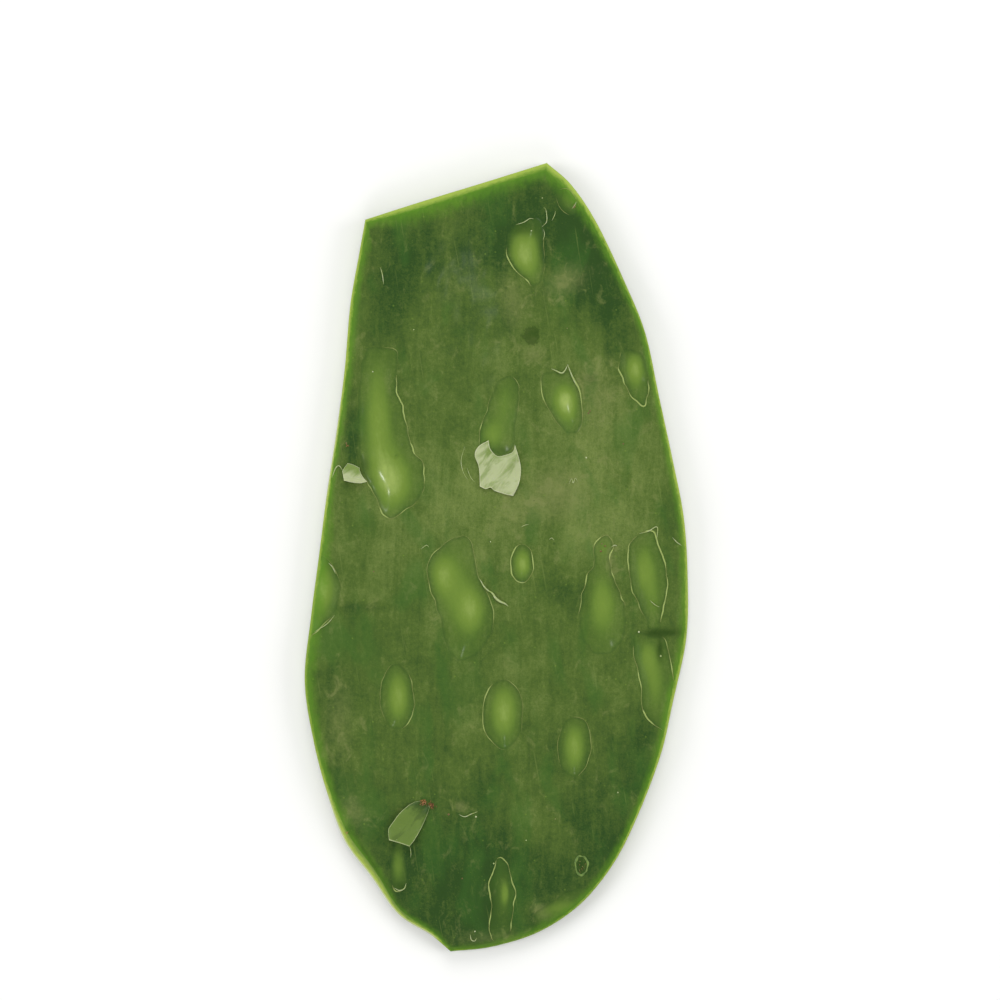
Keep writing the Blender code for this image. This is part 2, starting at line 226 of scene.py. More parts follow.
# Soft ovals painted on the skin: x, y, half width and half length in millimetres, turn in degrees, and
# strength. Tone is lighter above 0 and darker below it.
TONE_PATCHES = (
    (14.0, 92.0, 20.0, 14.0, 0, -0.50),
    (-28.0, 80.0, 8.0, 17.0, 0, -0.34),
    (-6.0, 80.0, 7.0, 24.0, 0, -0.20),
    (28.0, 74.0, 9.0, 18.0, 20, -0.50),
    (40.0, -56.0, 9.0, 16.0, -20, -0.24),
    (28.0, -74.0, 11.0, 10.0, 0, -0.12),
    (-20.0, 84.0, 5.0, 14.0, 0, -0.16),
    (6.0, 62.0, 8.0, 9.0, 0, -0.06),
    (24.0, 44.0, 20.0, 24.0, 0, 0.16),
    (-12.0, 12.0, 24.0, 18.0, 0, 0.26),
    (28.0, 16.0, 16.0, 18.0, 0, 0.24),
    (20.0, -9.0, 7.0, 5.0, 0, -0.30),
    (-39.5, 32.0, 2.2, 12.0, 0, -0.45),
    (-37.0, -13.5, 7.0, 1.6, 0, -0.35),
    (-48.0, -55.0, 10.0, 26.0, 0, -0.10),
    (0.0, -88.0, 50.0, 28.0, 0, -0.40),
    (10.0, -70.0, 6.0, 5.0, 0, 0.36),
    (-9.0, -99.0, 10.0, 9.0, 0, -0.20),
    (-24.0, -98.0, 10.0, 7.0, 0, 0.10),
    (20.0, -96.0, 12.0, 6.0, 0, 0.10),
    (47.0, -60.0, 5.0, 14.0, 0, 0.14),
    (18.0, -78.0, 8.0, 7.0, 0, 0.26),
    (9.6, 77.0, 4.0, 3.0, 0, 0.30),
)
# Olive patches, in the same columns: olive skin, and the patch at 19, 76 is a painted sheen of light.
OLIVE_AND_SHEEN_PATCHES = (
    (5.0, 67.0, 4.5, 7.0, 10, 0.45),
    (10.0, 55.5, 4.0, 3.0, 0, 0.6),
    (19.0, 76.0, 7.0, 5.0, 30, 0.7),
    (3.5, 74.0, 4.0, 6.0, 0, 0.35),
    (27.0, 45.0, 8.0, 14.0, 0, 0.5),
    (17.0, 18.0, 10.0, 9.0, 0, 0.7),
    (4.0, 12.0, 8.0, 6.0, 0, 0.4),
    (31.0, -1.0, 3.0, 5.0, 0, 0.5),
    (-31.5, 47.0, 4.0, 7.0, 0, 0.5),
    (-43.0, -45.0, 5.0, 14.0, 0, 0.5),
    (-39.0, -70.0, 4.0, 6.0, 30, 0.6),
    (12.5, -97.5, 3.5, 2.4, -40, 0.8),
    (-10.0, -68.3, 1.8, 1.8, 0, 0.8),
    (0.0, -105.0, 16.0, 3.0, 0, 0.5),
)
# Dark marks, in the same columns: spots on the skin, and the mark at 2, 29.4 is a painted shadow between the
# middle sliver and the faint scoop beside it.
DARK_MARKS_AND_SHADE = (
    (45.4, -20.7, 4.3, 1.0, 0, 1.6),
    (45.0, -25.0, 0.9, 3.2, 0, 1.0),
    (23.4, -84.8, 1.3, 2.1, 0, 0.6),
    (-19.4, -68.6, 1.8, 1.4, 30, 0.7),
    (26.0, 49.0, 1.7, 1.2, 0, 0.45),
    (-26.5, -90.2, 1.8, 0.9, 0, 0.5),
    (7.6, 89.8, 3.0, 1.6, 0, 0.5),
    (12.6, 84.5, 0.9, 5.0, 0, 0.35),
    (-41.0, 23.6, 1.6, 2.8, 0, 0.5),
    (-36.6, 25.6, 1.6, 2.4, 25, 0.6),
    (32.8, -7.5, 0.7, 2.4, 8, 0.35),
    (-1.2, -94.0, 0.7, 6.0, 0, 0.4),
    # painted shadow beside the middle sliver's top edge
    (2.0, 29.4, 2.6, 1.1, 0, 0.55),
    (-34.3, -83.9, 0.5, 8.0, 33, 0.5),
)
# A ragged dark blotch on the skin, in the same columns.
DARK_BLOTCH = ((9.5, 60.8, 3.4, 3.6, 0, 1.0),)

# Slivers of skin still held at one end: each edge of the sheet runs from its lower left or right corner.
# Then come how high the sheet's middle, free end and sides stand off the skin, and its folds: x and y of
# both ends of a fold's line, its height and how far it reaches to either side. All are in millimetres.
SLIVER_LEFT = {
    "name": "sliver_left",
    "bottom": ((-41.7, 21.1), (-39.5, 20.6), (-37.2, 20.4), (-35.4, 20.8)),
    "top": ((-40.8, 25.9), (-39.3, 25.5), (-37.5, 24.6)),
    "left": ((-41.7, 21.1), (-42.1, 23.0), (-42.1, 24.0), (-40.8, 25.9)),
    "right": ((-35.4, 20.8), (-36.6, 22.2), (-37.4, 23.7), (-37.5, 24.6)),
    "stand": 0.5,
    "free_end": 0.7,
    "free_side": 0.4,
    "folds": ((-42.0, 22.0, -35.5, 21.6, 0.35, 0.5),),
}
SLIVER_MIDDLE = {
    "name": "sliver_middle",
    "bottom": ((-4.5, 19.5), (-2.9, 18.8), (-1.6, 19.2), (-0.4, 18.3), (2.3, 17.4), (4.6, 16.9)),
    "top": ((-2.1, 32.1), (-1.6, 29.7), (0.3, 27.8), (2.8, 28.2), (4.5, 29.0), (5.1, 30.8)),
    "left": ((-4.5, 19.5), (-4.6, 23.0), (-4.9, 25.2), (-5.9, 28.2), (-4.8, 30.5), (-2.1, 32.1)),
    "right": ((4.6, 16.9), (6.2, 20.4), (6.7, 24.5), (5.9, 28.2), (5.1, 30.8)),
    "stand": 0.15,
    "free_end": 0.15,
    "free_side": 0.25,
    "folds": (
        (-1.6, 19.0, 5.4, 27.2, 0.55, 0.8),
        (-3.0, 19.6, -2.6, 31.0, 0.45, 0.6),
        (6.6, 21.0, 4.0, 17.6, 0.3, 0.7),
    ),
}
SLIVER_LOWER = {
    "name": "sliver_lower",
    "bottom": ((-29.4, -77.4), (-26.5, -78.3), (-23.8, -79.1)),
    "top": ((-19.8, -67.3), (-19.0, -67.5), (-18.3, -68.4)),
    "left": (
        (-29.4, -77.4), (-29.6, -74.6), (-28.6, -72.9), (-26.5, -70.1),
        (-23.8, -67.8), (-21.6, -66.9), (-19.8, -67.3),
    ),
    "right": ((-23.8, -79.1), (-22.2, -77.0), (-20.3, -73.6), (-18.7, -69.8), (-18.3, -68.4)),
    "stand": 0.5,
    "free_end": 1.3,
    "free_side": 0.5,
    "folds": ((-27.0, -78.0, -19.5, -68.5, -0.25, 1.6),),
}

# Torn fibres: half thickness in millimetres, how high the middle arches off the skin, then the points.
FIBRES = (
    (0.20, 0.3, ((15.1, 51.7), (16.6, 51.0), (17.9, 50.5), (18.8, 51.3), (19.5, 52.7))),
    (0.18, 0.3, ((19.5, 52.9), (20.2, 51.0), (21.1, 48.8), (22.3, 46.5))),
    (0.14, 0.2, ((39.2, 6.6), (41.6, 7.2), (44.1, 8.4), (44.0, 4.8))),
    (0.20, 0.4, ((-4.5, -5.9), (-3.4, -7.8), (-2.3, -8.9), (-0.9, -9.8))),
    (0.32, 0.4, ((-2.2, -8.9), (-1.0, -9.8), (-0.2, -11.0), (0.9, -11.9), (2.1, -12.4), (3.3, -13.3))),
    (0.12, 0.2, ((5.4, 91.2), (7.6, 91.9), (9.2, 92.9), (10.3, 92.8))),
    (0.12, 0.2, ((12.5, 90.6), (13.8, 92.2), (13.6, 95.2), (13.0, 96.0))),
    (0.10, 0.2, ((15.2, 92.3), (16.0, 94.0), (16.2, 95.0))),
    (0.09, 0.1, ((12.8, 87.0), (13.2, 88.6), (12.9, 90.0))),
    (0.12, 0.2, ((42.2, -11.8), (43.6, -13.0), (44.8, -13.6))),
    (0.12, 0.2, ((48.4, 5.5), (49.6, 4.2), (51.0, 3.3))),
    (0.14, 0.2, ((-46.1, -1.5), (-45.0, -2.6), (-44.1, -4.5))),
    (0.12, 0.2, ((-44.4, -15.8), (-46.5, -18.2), (-50.0, -20.4))),
    (0.14, 0.3, ((31.5, 2.9), (32.3, 3.4), (33.1, 3.2))),
    (0.10, 0.3, ((-23.8, -79.3), (-23.5, -80.7), (-23.5, -82.4))),
    (0.13, 0.2, ((-10.3, -70.5), (-8.7, -71.1), (-7.0, -70.4), (-5.1, -69.7))),
    (0.10, 0.3, ((19.9, 20.3), (20.6, 21.6), (21.0, 20.4), (21.6, 21.8), (22.2, 20.9))),
    (0.10, 0.1, ((6.7, 8.4), (7.8, 8.9), (8.9, 9.2))),
    (0.16, 0.3, ((-28.2, -90.9), (-26.7, -91.6), (-25.3, -91.0), (-24.8, -89.6))),
    (0.13, 0.2, ((-7.2, -103.8), (-6.9, -105.2), (-6.0, -105.6), (-5.4, -104.8))),
    (0.12, 0.1, ((-31.8, 79.6), (-31.2, 77.4), (-30.9, 74.9))),
    (0.10, 0.2, ((20.8, 95.8), (21.6, 96.9), (22.0, 97.8))),
    (0.16, 0.2, ((-42.1, 23.8), (-43.2, 25.2), (-44.2, 24.4), (-45.2, 21.9))),
    (0.10, 0.1, ((-20.6, 2.4), (-19.2, 3.4), (-18.4, 2.9))),
    (0.09, 0.1, ((-8.6, 30.4), (-9.6, 26.9), (-9.2, 23.8), (-7.8, 21.2))),
    (0.09, 0.1, ((-8.0, 24.5), (-7.0, 22.0), (-6.0, 20.8))),
    (0.10, 0.1, ((14.4, 5.0), (15.2, 5.4), (15.8, 4.8))),
)

# Small round grains on the skin: x, y, half width in millimetres, and 1 for pale, 0 for brown.
GRAINS = (
    (39.1, -20.4, 0.26, 1), (45.2, -27.1, 0.26, 1), (-13.1, -70.5, 0.30, 0), (-5.6, -71.1, 0.24, 1),
    (-5.9, -102.9, 0.22, 1), (-0.7, -84.0, 0.24, 1), (28.6, 1.8, 0.30, 0), (29.8, 3.2, 0.26, 0),
    (28.9, 3.8, 0.22, 0), (25.2, 39.6, 0.22, 0), (24.6, 27.4, 0.22, 1), (-41.2, 31.4, 0.24, 0),
    (-33.9, 51.0, 0.18, 1), (21.3, 96.2, 0.28, 0), (12.6, 98.6, 0.16, 1), (9.6, 89.6, 0.18, 1),
    (34.8, 31.2, 0.20, 0), (-22.6, 62.4, 0.18, 1), (2.6, 22.8, 0.16, 1),
    (16.2, -71.8, 0.20, 0), (33.4, -64.6, 0.20, 1), (-9.4, -88.2, 0.20, 0),
    (8.2, -77.6, 0.18, 1), (-33.6, -3.8, 0.18, 0), (19.4, 62.8, 0.18, 0), (-1.6, 4.4, 0.18, 1),
    (23.0, -83.6, 0.15, 0), (23.7, -85.0, 0.16, 0), (22.9, -86.0, 0.14, 0), (25.6, 40.2, 0.24, 0),
)

# Tufts of barbed bristles: x, y and spread in millimetres, how many, and their length as a share of a
# bristle's full length.
TUFTS = (
    (-20.0, -67.3, 0.9, 40, 0.8),
    (-17.7, -68.1, 0.8, 34, 0.7),
    (23.2, -86.0, 0.7, 4, 0.3),
    (23.6, -84.2, 0.9, 3, 0.3),
    (-41.0, 30.6, 0.5, 5, 0.4),
    (-41.2, -75.7, 0.5, 6, 0.5),
    (21.4, 96.7, 0.6, 5, 0.35),
)
BRISTLE_SIDES = 5
BRISTLE_BEND = 1.9  # a bristle rises and droops as a sine does from 0 to this angle in radians
GRAIN_RINGS = 5
OVAL_SIDES = 8

# The knife's lips have a point every step and stop short of the rim by the margin.
LIP_STEP = 0.40 * MM
LIP_MARGIN = 0.5 * MM

# How far the rim's cut face is hollowed, and the depth of the knife's marks in it.
RIM_HOLLOW = 0.10 * MM
RIM_MARKS = 0.16 * MM

# Points along the edges of a sliver's grid: across it, and from its free end to its held end.
SLIVER_ACROSS = 41
SLIVER_ALONG = 57

# The spine cushion that the knife missed: x, y, width and length in millimetres.
AREOLE = (23.4, -84.7, 3.4, 5.3)

SENSOR_WIDTH = 36.0  # of the camera, in millimetres as its lens is

# Soft lamps round the pad: turn from +X and rise in degrees, then power as a share of the usual one. The
# glint lamp is small and nearly overhead, so that wet flesh shines.
SOFT_LAMPS = ((90, 36, 1.6), (0, 29, 1.35), (180, 29, 1.35), (270, 30, 1.05))
GLINT_PLACE = (-0.06, 0.25, 1.30)
GLINT_SIZE = 0.04
GLINT_POWER = 2.2


def metres(name, description, default):
    """A length property."""
    return FloatProperty(name=name, description=description, default=default, unit="LENGTH", precision=5)


def whole(name, description, default):
    """A property that counts faces."""
    return IntProperty(name=name, description=description, default=default)


def watts(name, description, default):
    """A property for a lamp's power."""
    return FloatProperty(name=name, description=description, default=default, unit="POWER")


def colour(name, description, red, green, blue):
    """A colour property, given as it looks on a screen, on a scale of 255."""
    shown = np.array((red, green, blue)) / 255
    linear = np.where(shown > 0.04045, ((shown + 0.055) / 1.055) ** 2.4, shown / 12.92)
    return FloatVectorProperty(
        name=name, description=description, default=tuple(linear), size=3, subtype="COLOR", min=0, max=1
    )


class PadShape(bpy.types.PropertyGroup):
    """Sizes of the pad's body."""

    length: metres("Length", "From the tip to the cut stalk end", CAD_HIGH.y - CAD_LOW.y)
    width: metres("Width", "Across the widest part", CAD_HIGH.x - CAD_LOW.x)
    crown_at_stalk: metres("Crown at stalk", "Thickness along the middle, at the stalk end", 11.2 * MM)
    crown_at_tip: metres("Crown at tip", "Thickness along the middle, at the tip", 7.8 * MM)
    foot: metres("Foot", "Height of the rim's lower edge above the table", 1.5 * MM)
    shoulder_width: metres("Shoulder width", "Where the skin starts to round, in from its edge", 2.2 * MM)
    shoulder_drop: metres("Shoulder drop", "How far the rounding lowers the rim's upper edge", 0.55 * MM)
    ripple: metres("Ripple", "Height of the skin's gentle waves", 0.22 * MM)
    crown_fall: FloatProperty(name="Crown fall", description="Power of the fall to the rim", default=3.0)
    flat_share: FloatProperty(
        name="Flat share",
        description="Share of the underside that lies flat",
        default=0.62,
        subtype="FACTOR",
    )
    cells_across: whole("Cells across", "Faces across the pad, an even number", 184)
    cells_along: whole("Cells along", "Faces along the pad, an even number", 368)
    rim_rows: whole("Rim rows", "Faces down the trimmed rim", 8)


class CutSizes(bpy.types.PropertyGroup):
    """Sizes of what the knife left."""

    lip_width: metres("Lip width", "Width of the raised lip round a scoop", 0.36 * MM)
    lip_height: metres("Lip height", "Height of the raised lip round a scoop", 0.26 * MM)
    sliver_thickness: metres("Sliver thickness", "Thickness of a hanging sliver in its middle", 0.50 * MM)
    sliver_edge: metres("Sliver edge", "Thickness of a hanging sliver along its edge", 0.22 * MM)
    bristle_length: metres("Bristle length", "Length of a barbed bristle", 1.0 * MM)
    bristle_width: metres("Bristle width", "Width of a barbed bristle at its foot", 0.20 * MM)


class PadColours(bpy.types.PropertyGroup):
    """Colours of skin, flesh and bristles."""

    skin_dark: colour("Dark skin", "Skin in its darkest stretches", 50, 76, 36)
    skin_mid: colour("Skin", "Skin in the middle of the pad", 82, 104, 47)
    skin_light: colour("Light skin", "Skin in its lightest stretches", 112, 129, 68)
    # The olive colour also paints the sheen of light at the olive patch that stands for one.
    skin_olive_and_sheen: colour("Olive skin", "Skin where its wax has worn thin", 122, 130, 78)
    skin_lush: colour("Lush skin", "Skin where it is youngest", 62, 101, 42)
    flesh_deep: colour("Flesh by the skin", "Flesh just under the skin", 82, 112, 45)
    flesh_mid: colour("Flesh", "Flesh halfway down a scoop", 112, 138, 58)
    flesh_pale: colour("Pale flesh", "Flesh at the bottom of a scoop", 152, 172, 92)
    rim_green: colour("Green rim", "Rim just inside its outermost line", 92, 138, 40)
    rim_pale: colour("Pale rim", "Outermost line of the rim, where the cut opens the flesh", 166, 186, 84)
    rim_band: colour("Rim band", "Cut face of the rim where it shows as a band", 124, 146, 74)
    lip: colour("Lip", "Edge of the cut skin", 152, 170, 94)
    lip_dull: colour("Dull lip", "Edge of the cut skin where it has dried", 116, 126, 62)
    sliver_flesh: colour("Sliver", "Flesh side of a hanging sliver", 172, 182, 136)
    sliver_edge: colour("Sliver edge", "Bare edge of a hanging sliver", 200, 206, 164)
    sliver_green: colour("Green sliver", "Hanging sliver where it is thick", 118, 140, 70)
    leaf_green: colour("Leafy sliver", "Skin side of the sliver that has curled over", 98, 122, 54)
    leaf_edge: colour("Leafy edge", "Bare edge of the sliver that has curled over", 180, 192, 138)
    # Dark green of the leafy sliver's held end, partly painted shade near the skin that holds it.
    sliver_dark_and_shade: colour("Dark sliver", "Hanging sliver near the skin that holds it", 48, 74, 26)
    # Dark colour of the ragged blotch and of the dark marks, one of which is a painted shadow.
    bruise: colour("Bruise", "Torn and bruised skin", 44, 68, 26)
    bristle: colour("Bristle", "Barbed bristles", 172, 120, 68)
    bristle_dark: colour("Dark bristle", "Feet of the barbed bristles", 112, 74, 40)
    floor: colour("Floor", "The studio's floor", 246, 246, 244)


class StudioSizes(bpy.types.PropertyGroup):
    """Sizes of the studio."""

    view_width: metres("View width", "Width that the camera sees at the pad", 275 * MM)
    lens: FloatProperty(name="Lens", description="The camera's focal length", default=100.0, unit="CAMERA")
    aim_across: metres("Aim across", "How far right of the pad's middle the camera looks", 1.0 * MM)
    aim_along: metres("Aim along", "How far towards the stalk the camera looks", 15.8 * MM)
    floor_size: metres("Floor size", "Side of the square floor", 6.0)
    lamp_distance: metres("Lamp distance", "From the pad to each soft lamp", 1.6)
    lamp_size: metres("Lamp size", "Side of each soft lamp", 0.9)
    lamp_power: watts("Lamp power", "Usual power of a soft lamp", 7.0)
    floor_gap: metres("Floor gap", "How far under the pad the floor lies", 0.2 * MM)
    ambient: FloatProperty(name="Ambient", description="Strength of the even light all round", default=0.3)


# ---------------------------------------------------------------------------------------------------
# Shader maths
# ---------------------------------------------------------------------------------------------------
class Signal:
    """A shader socket that takes part in Python sums: each operator adds the Math node that works it out,
    with itself first, or second in the reflected form."""

    def __init__(self, tree, socket=None):
        self.tree = tree
        self.socket = socket

    def node(self, kind, settings=None, sockets=None, output=0):
        """A new node of that kind: its settings are set first, then its sockets take values or links."""
        made = self.tree.nodes.new(kind)
        for name, value in (settings or {}).items():
            if name == "stops":
                fill_ramp(made.color_ramp, value)
            else:
                setattr(made, name, value)
        for name, value in (sockets or {}).items():
            if isinstance(value, Signal):
                self.tree.links.new(value.socket, made.inputs[name])
            else:
                made.inputs[name].default_value = value
        return Signal(self.tree, made.outputs[output] if made.outputs else None)

    def maths(self, operation, first, second):
        """The Math node of that operation on two values."""
        return self.node("ShaderNodeMath", {"operation": operation}, {0: first, 1: second})

    def __add__(self, other):
        return self.maths("ADD", self, other)

    def __radd__(self, other):
        return self.maths("ADD", other, self)

    def __sub__(self, other):
        return self.maths("SUBTRACT", self, other)

    def __rsub__(self, other):
        return self.maths("SUBTRACT", other, self)

    def __mul__(self, other):
        return self.maths("MULTIPLY", self, other)

    def __rmul__(self, other):
        return self.maths("MULTIPLY", other, self)

    def __truediv__(self, other):
        return self.maths("DIVIDE", self, other)

    def __rtruediv__(self, other):
        return self.maths("DIVIDE", other, self)

    def clear_of(self, low, high):
        """0 below low, 1 above high, and an even S between them; low above high turns it round."""
        return self.node(
            "ShaderNodeMapRange",
            {"interpolation_type": "SMOOTHSTEP"},
            {"Value": self, "From Min": low, "From Max": high, "To Min": 0.0, "To Max": 1.0},
        )


def fill_ramp(ramp, stops):
    """Gives a colour ramp its stops, each a place and a colour."""
    while len(ramp.elements) < len(stops):
        ramp.elements.new(1.0)
    for element, (place, shade) in zip(ramp.elements, stops):
        element.position = place
        element.color = rgba(shade)


def rgba(shade):
    """A colour property as four numbers."""
    return (*shade[:3], 1.0)


def blend(share, first, second):
    """The colour first where share is 0 and second where it is 1."""
    first, second = (c if isinstance(c, Signal) else rgba(c) for c in (first, second))
    return share.node("ShaderNodeMix", {"data_type": "RGBA"}, {0: share, 6: first, 7: second}, 2)


def attribute(tree, name):
    """A number stored at the mesh's vertices."""
    return Signal(tree).node("ShaderNodeAttribute", {"attribute_name": name}, output=2)


def object_place(tree, scale=(1000, 1000, 1000), shift=(0, 0, 0), turn=0.0):
    """Object coordinates, shifted by millimetres, turned, then scaled: at the default scale a unit is a
    millimetre, and a smaller scale along one axis stretches a pattern along it."""
    place = Signal(tree).node("ShaderNodeTexCoord", output=3)
    return place.node(
        "ShaderNodeMapping",
        {"vector_type": "TEXTURE"},
        {
            "Vector": place,
            "Location": tuple(way * MM for way in shift),
            "Rotation": (0, 0, turn),
            "Scale": tuple(1 / share for share in scale),
        },
    )


def noise(place, scale, detail=2.0, roughness=0.5, distortion=0.0):
    """Soft noise from 0 to 1, about scale times a unit of place apart."""
    return place.node("ShaderNodeTexNoise", None, {
        "Vector": place,
        "Scale": scale,
        "Detail": detail,
        "Roughness": roughness,
        "Distortion": distortion,
    })


def specks(place, scale, radius, seed):
    """Round specks, 1 in their middle and 0 outside, one in each cell and some cells left out."""
    shift = (seed, seed * 1.7, seed * 0.3)
    moved = place.node("ShaderNodeMapping", None, {"Vector": place, "Location": shift})
    settings = {"feature": "F1", "voronoi_dimensions": "3D"}
    gap = place.node("ShaderNodeTexVoronoi", settings, {"Vector": moved, "Scale": scale}, 0)
    cell = place.node("ShaderNodeTexVoronoi", settings, {"Vector": moved, "Scale": scale}, 1)
    pick = place.node("ShaderNodeSeparateColor", None, {"Color": cell}, 0)
    return gap.clear_of(radius, radius * 0.4) * pick.clear_of(0.55, 0.9)


def new_material(name):
    """An empty node material and the tree of it."""
    material = bpy.data.materials.new(name)
    material.use_nodes = True
    material.node_tree.nodes.clear()
    return material, material.node_tree


def finish_material(tree, varying, steady):
    """The Principled shader: varying sockets take links and steady ones plain values."""
    shader = Signal(tree).node("ShaderNodeBsdfPrincipled", None, {**steady, **varying})
    shader.node("ShaderNodeOutputMaterial", None, {"Surface": shader})


def bump(height, distance, strength):
    """A normal from a height of 0 to 1 that stands for distance in metres."""
    sockets = {"Height": height, "Distance": distance, "Strength": strength}
    return height.node("ShaderNodeBump", None, sockets)


# Light sinks a little way into skin and flesh, green the deepest.
SUNK_LIGHT = {
    "Subsurface Weight": 0.12,
    "Subsurface Radius": (1.6 * MM, 2.2 * MM, 0.6 * MM),
    "Subsurface Scale": 1.0,
}


def skin_colour(tree, colours, place, grain, cells):
    """Skin: a tone painted at the vertices, broken up by streaks and mottling of several sizes, then
    patches where it is lush or olive, one olive patch being a painted sheen, light scratches, light and
    dark dots, and a ragged dark blotch. Returns its colour and its dots."""
    streaks = noise(object_place(tree, (1000, 240, 1000), turn=0.06), 0.16, 4.0, 0.6, 0.6)
    mottle = noise(place, 0.09, 4.0, 0.6, 0.4)
    blotch = noise(object_place(tree, (1000, 700, 1000), (31, 17, 5)), 0.26, 4.0, 0.65, 0.8)
    threads = noise(object_place(tree, (1500, 90, 1000), turn=-0.05), 0.55, 3.0, 0.6, 0.3)
    tone = attribute(tree, "tone")
    for pattern, share in (
        (streaks, 0.62), (mottle, 0.75), (blotch, 0.45), (threads, 0.36), (grain, 0.50), (cells, 0.45)
    ):
        tone = tone + (pattern - 0.5) * share
    skin = tone.node("ShaderNodeValToRGB", {"stops": (
        (0.06, colours.skin_dark), (0.5, colours.skin_mid), (0.95, colours.skin_light))}, {"Fac": tone})
    lush = noise(object_place(tree, (1000, 420, 1000), (71, 3, 9), 0.1), 0.10, 3.0, 0.55, 0.5)
    skin = blend(lush.clear_of(0.50, 0.68) * 0.45, skin, colours.skin_lush)
    # Olive skin where the patches and the noise say, and at one patch a painted sheen.
    olive = attribute(tree, "olive") + blotch.clear_of(0.50, 0.72) * 0.5 + (grain - 0.5) * 0.5
    skin = blend(olive.clear_of(0.10, 1.1) * 0.75, skin, colours.skin_olive_and_sheen)
    scratches = noise(object_place(tree, (2400, 75, 1000), (5, 2, 0), 0.16), 0.6, 2.0, 0.5)
    skin = blend(scratches.clear_of(0.66, 0.76) * 0.35, skin, colours.skin_light)
    dots = specks(place, 0.36, 0.13, 3.0) * 0.5
    small_dots = specks(place, 0.95, 0.20, 7.0) * 0.3
    skin = blend(dots + small_dots, skin, colours.flesh_mid)
    skin = blend(specks(place, 0.22, 0.12, 11.0) * 0.5, skin, colours.skin_dark)
    # A ragged dark blotch round its listed oval.
    torn = attribute(tree, "bruise") + (blotch - 0.5) * 1.7 + (grain - 0.5) * 1.4
    skin = blend(torn.clear_of(0.45, 0.80) * 0.65, skin, colours.bruise)
    return skin, dots + small_dots


def pad_material(colours):
    """Skin, pale hearts of flesh in the scoops, and a rim whose light green fades inwards."""
    material, tree = new_material("cactus_skin")
    place = object_place(tree)
    grain = noise(place, 1.1, 3.0, 0.65)
    cells = noise(place, 2.6, 2.0, 0.6)
    skin, dots = skin_colour(tree, colours, place, grain, cells)

    pale = attribute(tree, "pale")
    grown = noise(object_place(tree, (1000, 500, 1000), (13, 41, 2)), 0.7, 3.0, 0.6)
    veins = noise(object_place(tree, (1400, 260, 1000), (7, 9, 3), 0.2), 0.5, 4.0, 0.65, 0.6)
    shown = pale * (0.58 + grown * 0.46 + veins * 0.38) + (grain - 0.5) * 0.12 * pale.clear_of(0.02, 0.2)
    flesh = shown.node("ShaderNodeValToRGB", {"stops": (
        (0.0, colours.flesh_deep), (0.42, colours.flesh_mid), (0.82, colours.flesh_pale))}, {"Fac": shown})
    edge = attribute(tree, "scoop_edge") + (grain - 0.5) * 0.4
    inside = edge.clear_of(-0.1, 0.5)
    surface = blend(inside * (0.30 + pale.clear_of(0.0, 0.30) * 0.70), skin, flesh)
    # Painted shade: a narrow darker band just inside each scoop's outline, where the cut steps down.
    step_shade = edge.clear_of(-0.1, 0.25) * edge.clear_of(1.1, 0.3)
    surface = blend(step_shade * 0.30, surface, colours.skin_dark)

    inward = attribute(tree, "inward")
    glow = attribute(tree, "rim_glow")
    fade = inward / glow + (grown - 0.5) * 0.6 + (grain - 0.5) * 0.25
    paleness = attribute(tree, "rim_pale")
    surface = blend(fade.clear_of(1.05, 0.10) * (0.50 + paleness * 0.45), surface, colours.rim_green)
    rim_face = attribute(tree, "rim_share").clear_of(0.0, 0.15)
    band = rim_face * attribute(tree, "rim_band")
    surface = blend(band * (0.65 + grain * 0.4), surface, colours.rim_band)
    line = (inward + (grain - 0.5) * 0.9 + (grown - 0.5) * 1.4) / ((0.35 + paleness) * glow * 0.27)
    line = line.clear_of(1.15, 0.2)
    surface = blend(line * paleness, surface, colours.rim_pale)
    bare = (inward + (grain - 0.5) * 0.3).clear_of(0.55, 0.2) * paleness.clear_of(0.8, 1.0)
    surface = blend(bare * 0.75, surface, colours.sliver_edge)
    # Dark marks on the skin, one of them a painted shadow beside the middle sliver.
    surface = blend(attribute(tree, "dark_mark") * (0.6 + grain * 0.4), surface, colours.bruise)

    relief = (cells * 0.35 + grain * 0.65 + dots * 0.8) * (1.0 - inside * 0.8)
    finish_material(
        tree,
        {
            "Base Color": surface,
            "Roughness": 0.46 - inside * 0.06 + (grain - 0.5) * 0.2,
            "Coat Weight": (0.008 + inside * 0.03 + pale.clear_of(0.3, 0.8) * 0.16) * (1.0 - rim_face),
            "Normal": bump(relief, 0.16 * MM, 0.7),
        },
        {"Specular IOR Level": 0.0, "Coat Roughness": 0.14, **SUNK_LIGHT},
    )
    return material


def lip_material(colours):
    """The edge of cut skin: thin, pale and a little glossy, dull in places."""
    material, tree = new_material("cut_skin_edge")
    patch = noise(object_place(tree), 0.35, 4.0, 0.65)
    strong = attribute(tree, "strength") + (patch - 0.5) * 1.0
    shade = blend(strong.clear_of(0.2, 0.9), colours.lip_dull, colours.lip)
    finish_material(
        tree,
        {"Base Color": shade, "Roughness": 0.42 + patch * 0.2},
        {"Specular IOR Level": 0.25, **SUNK_LIGHT},
    )
    return material


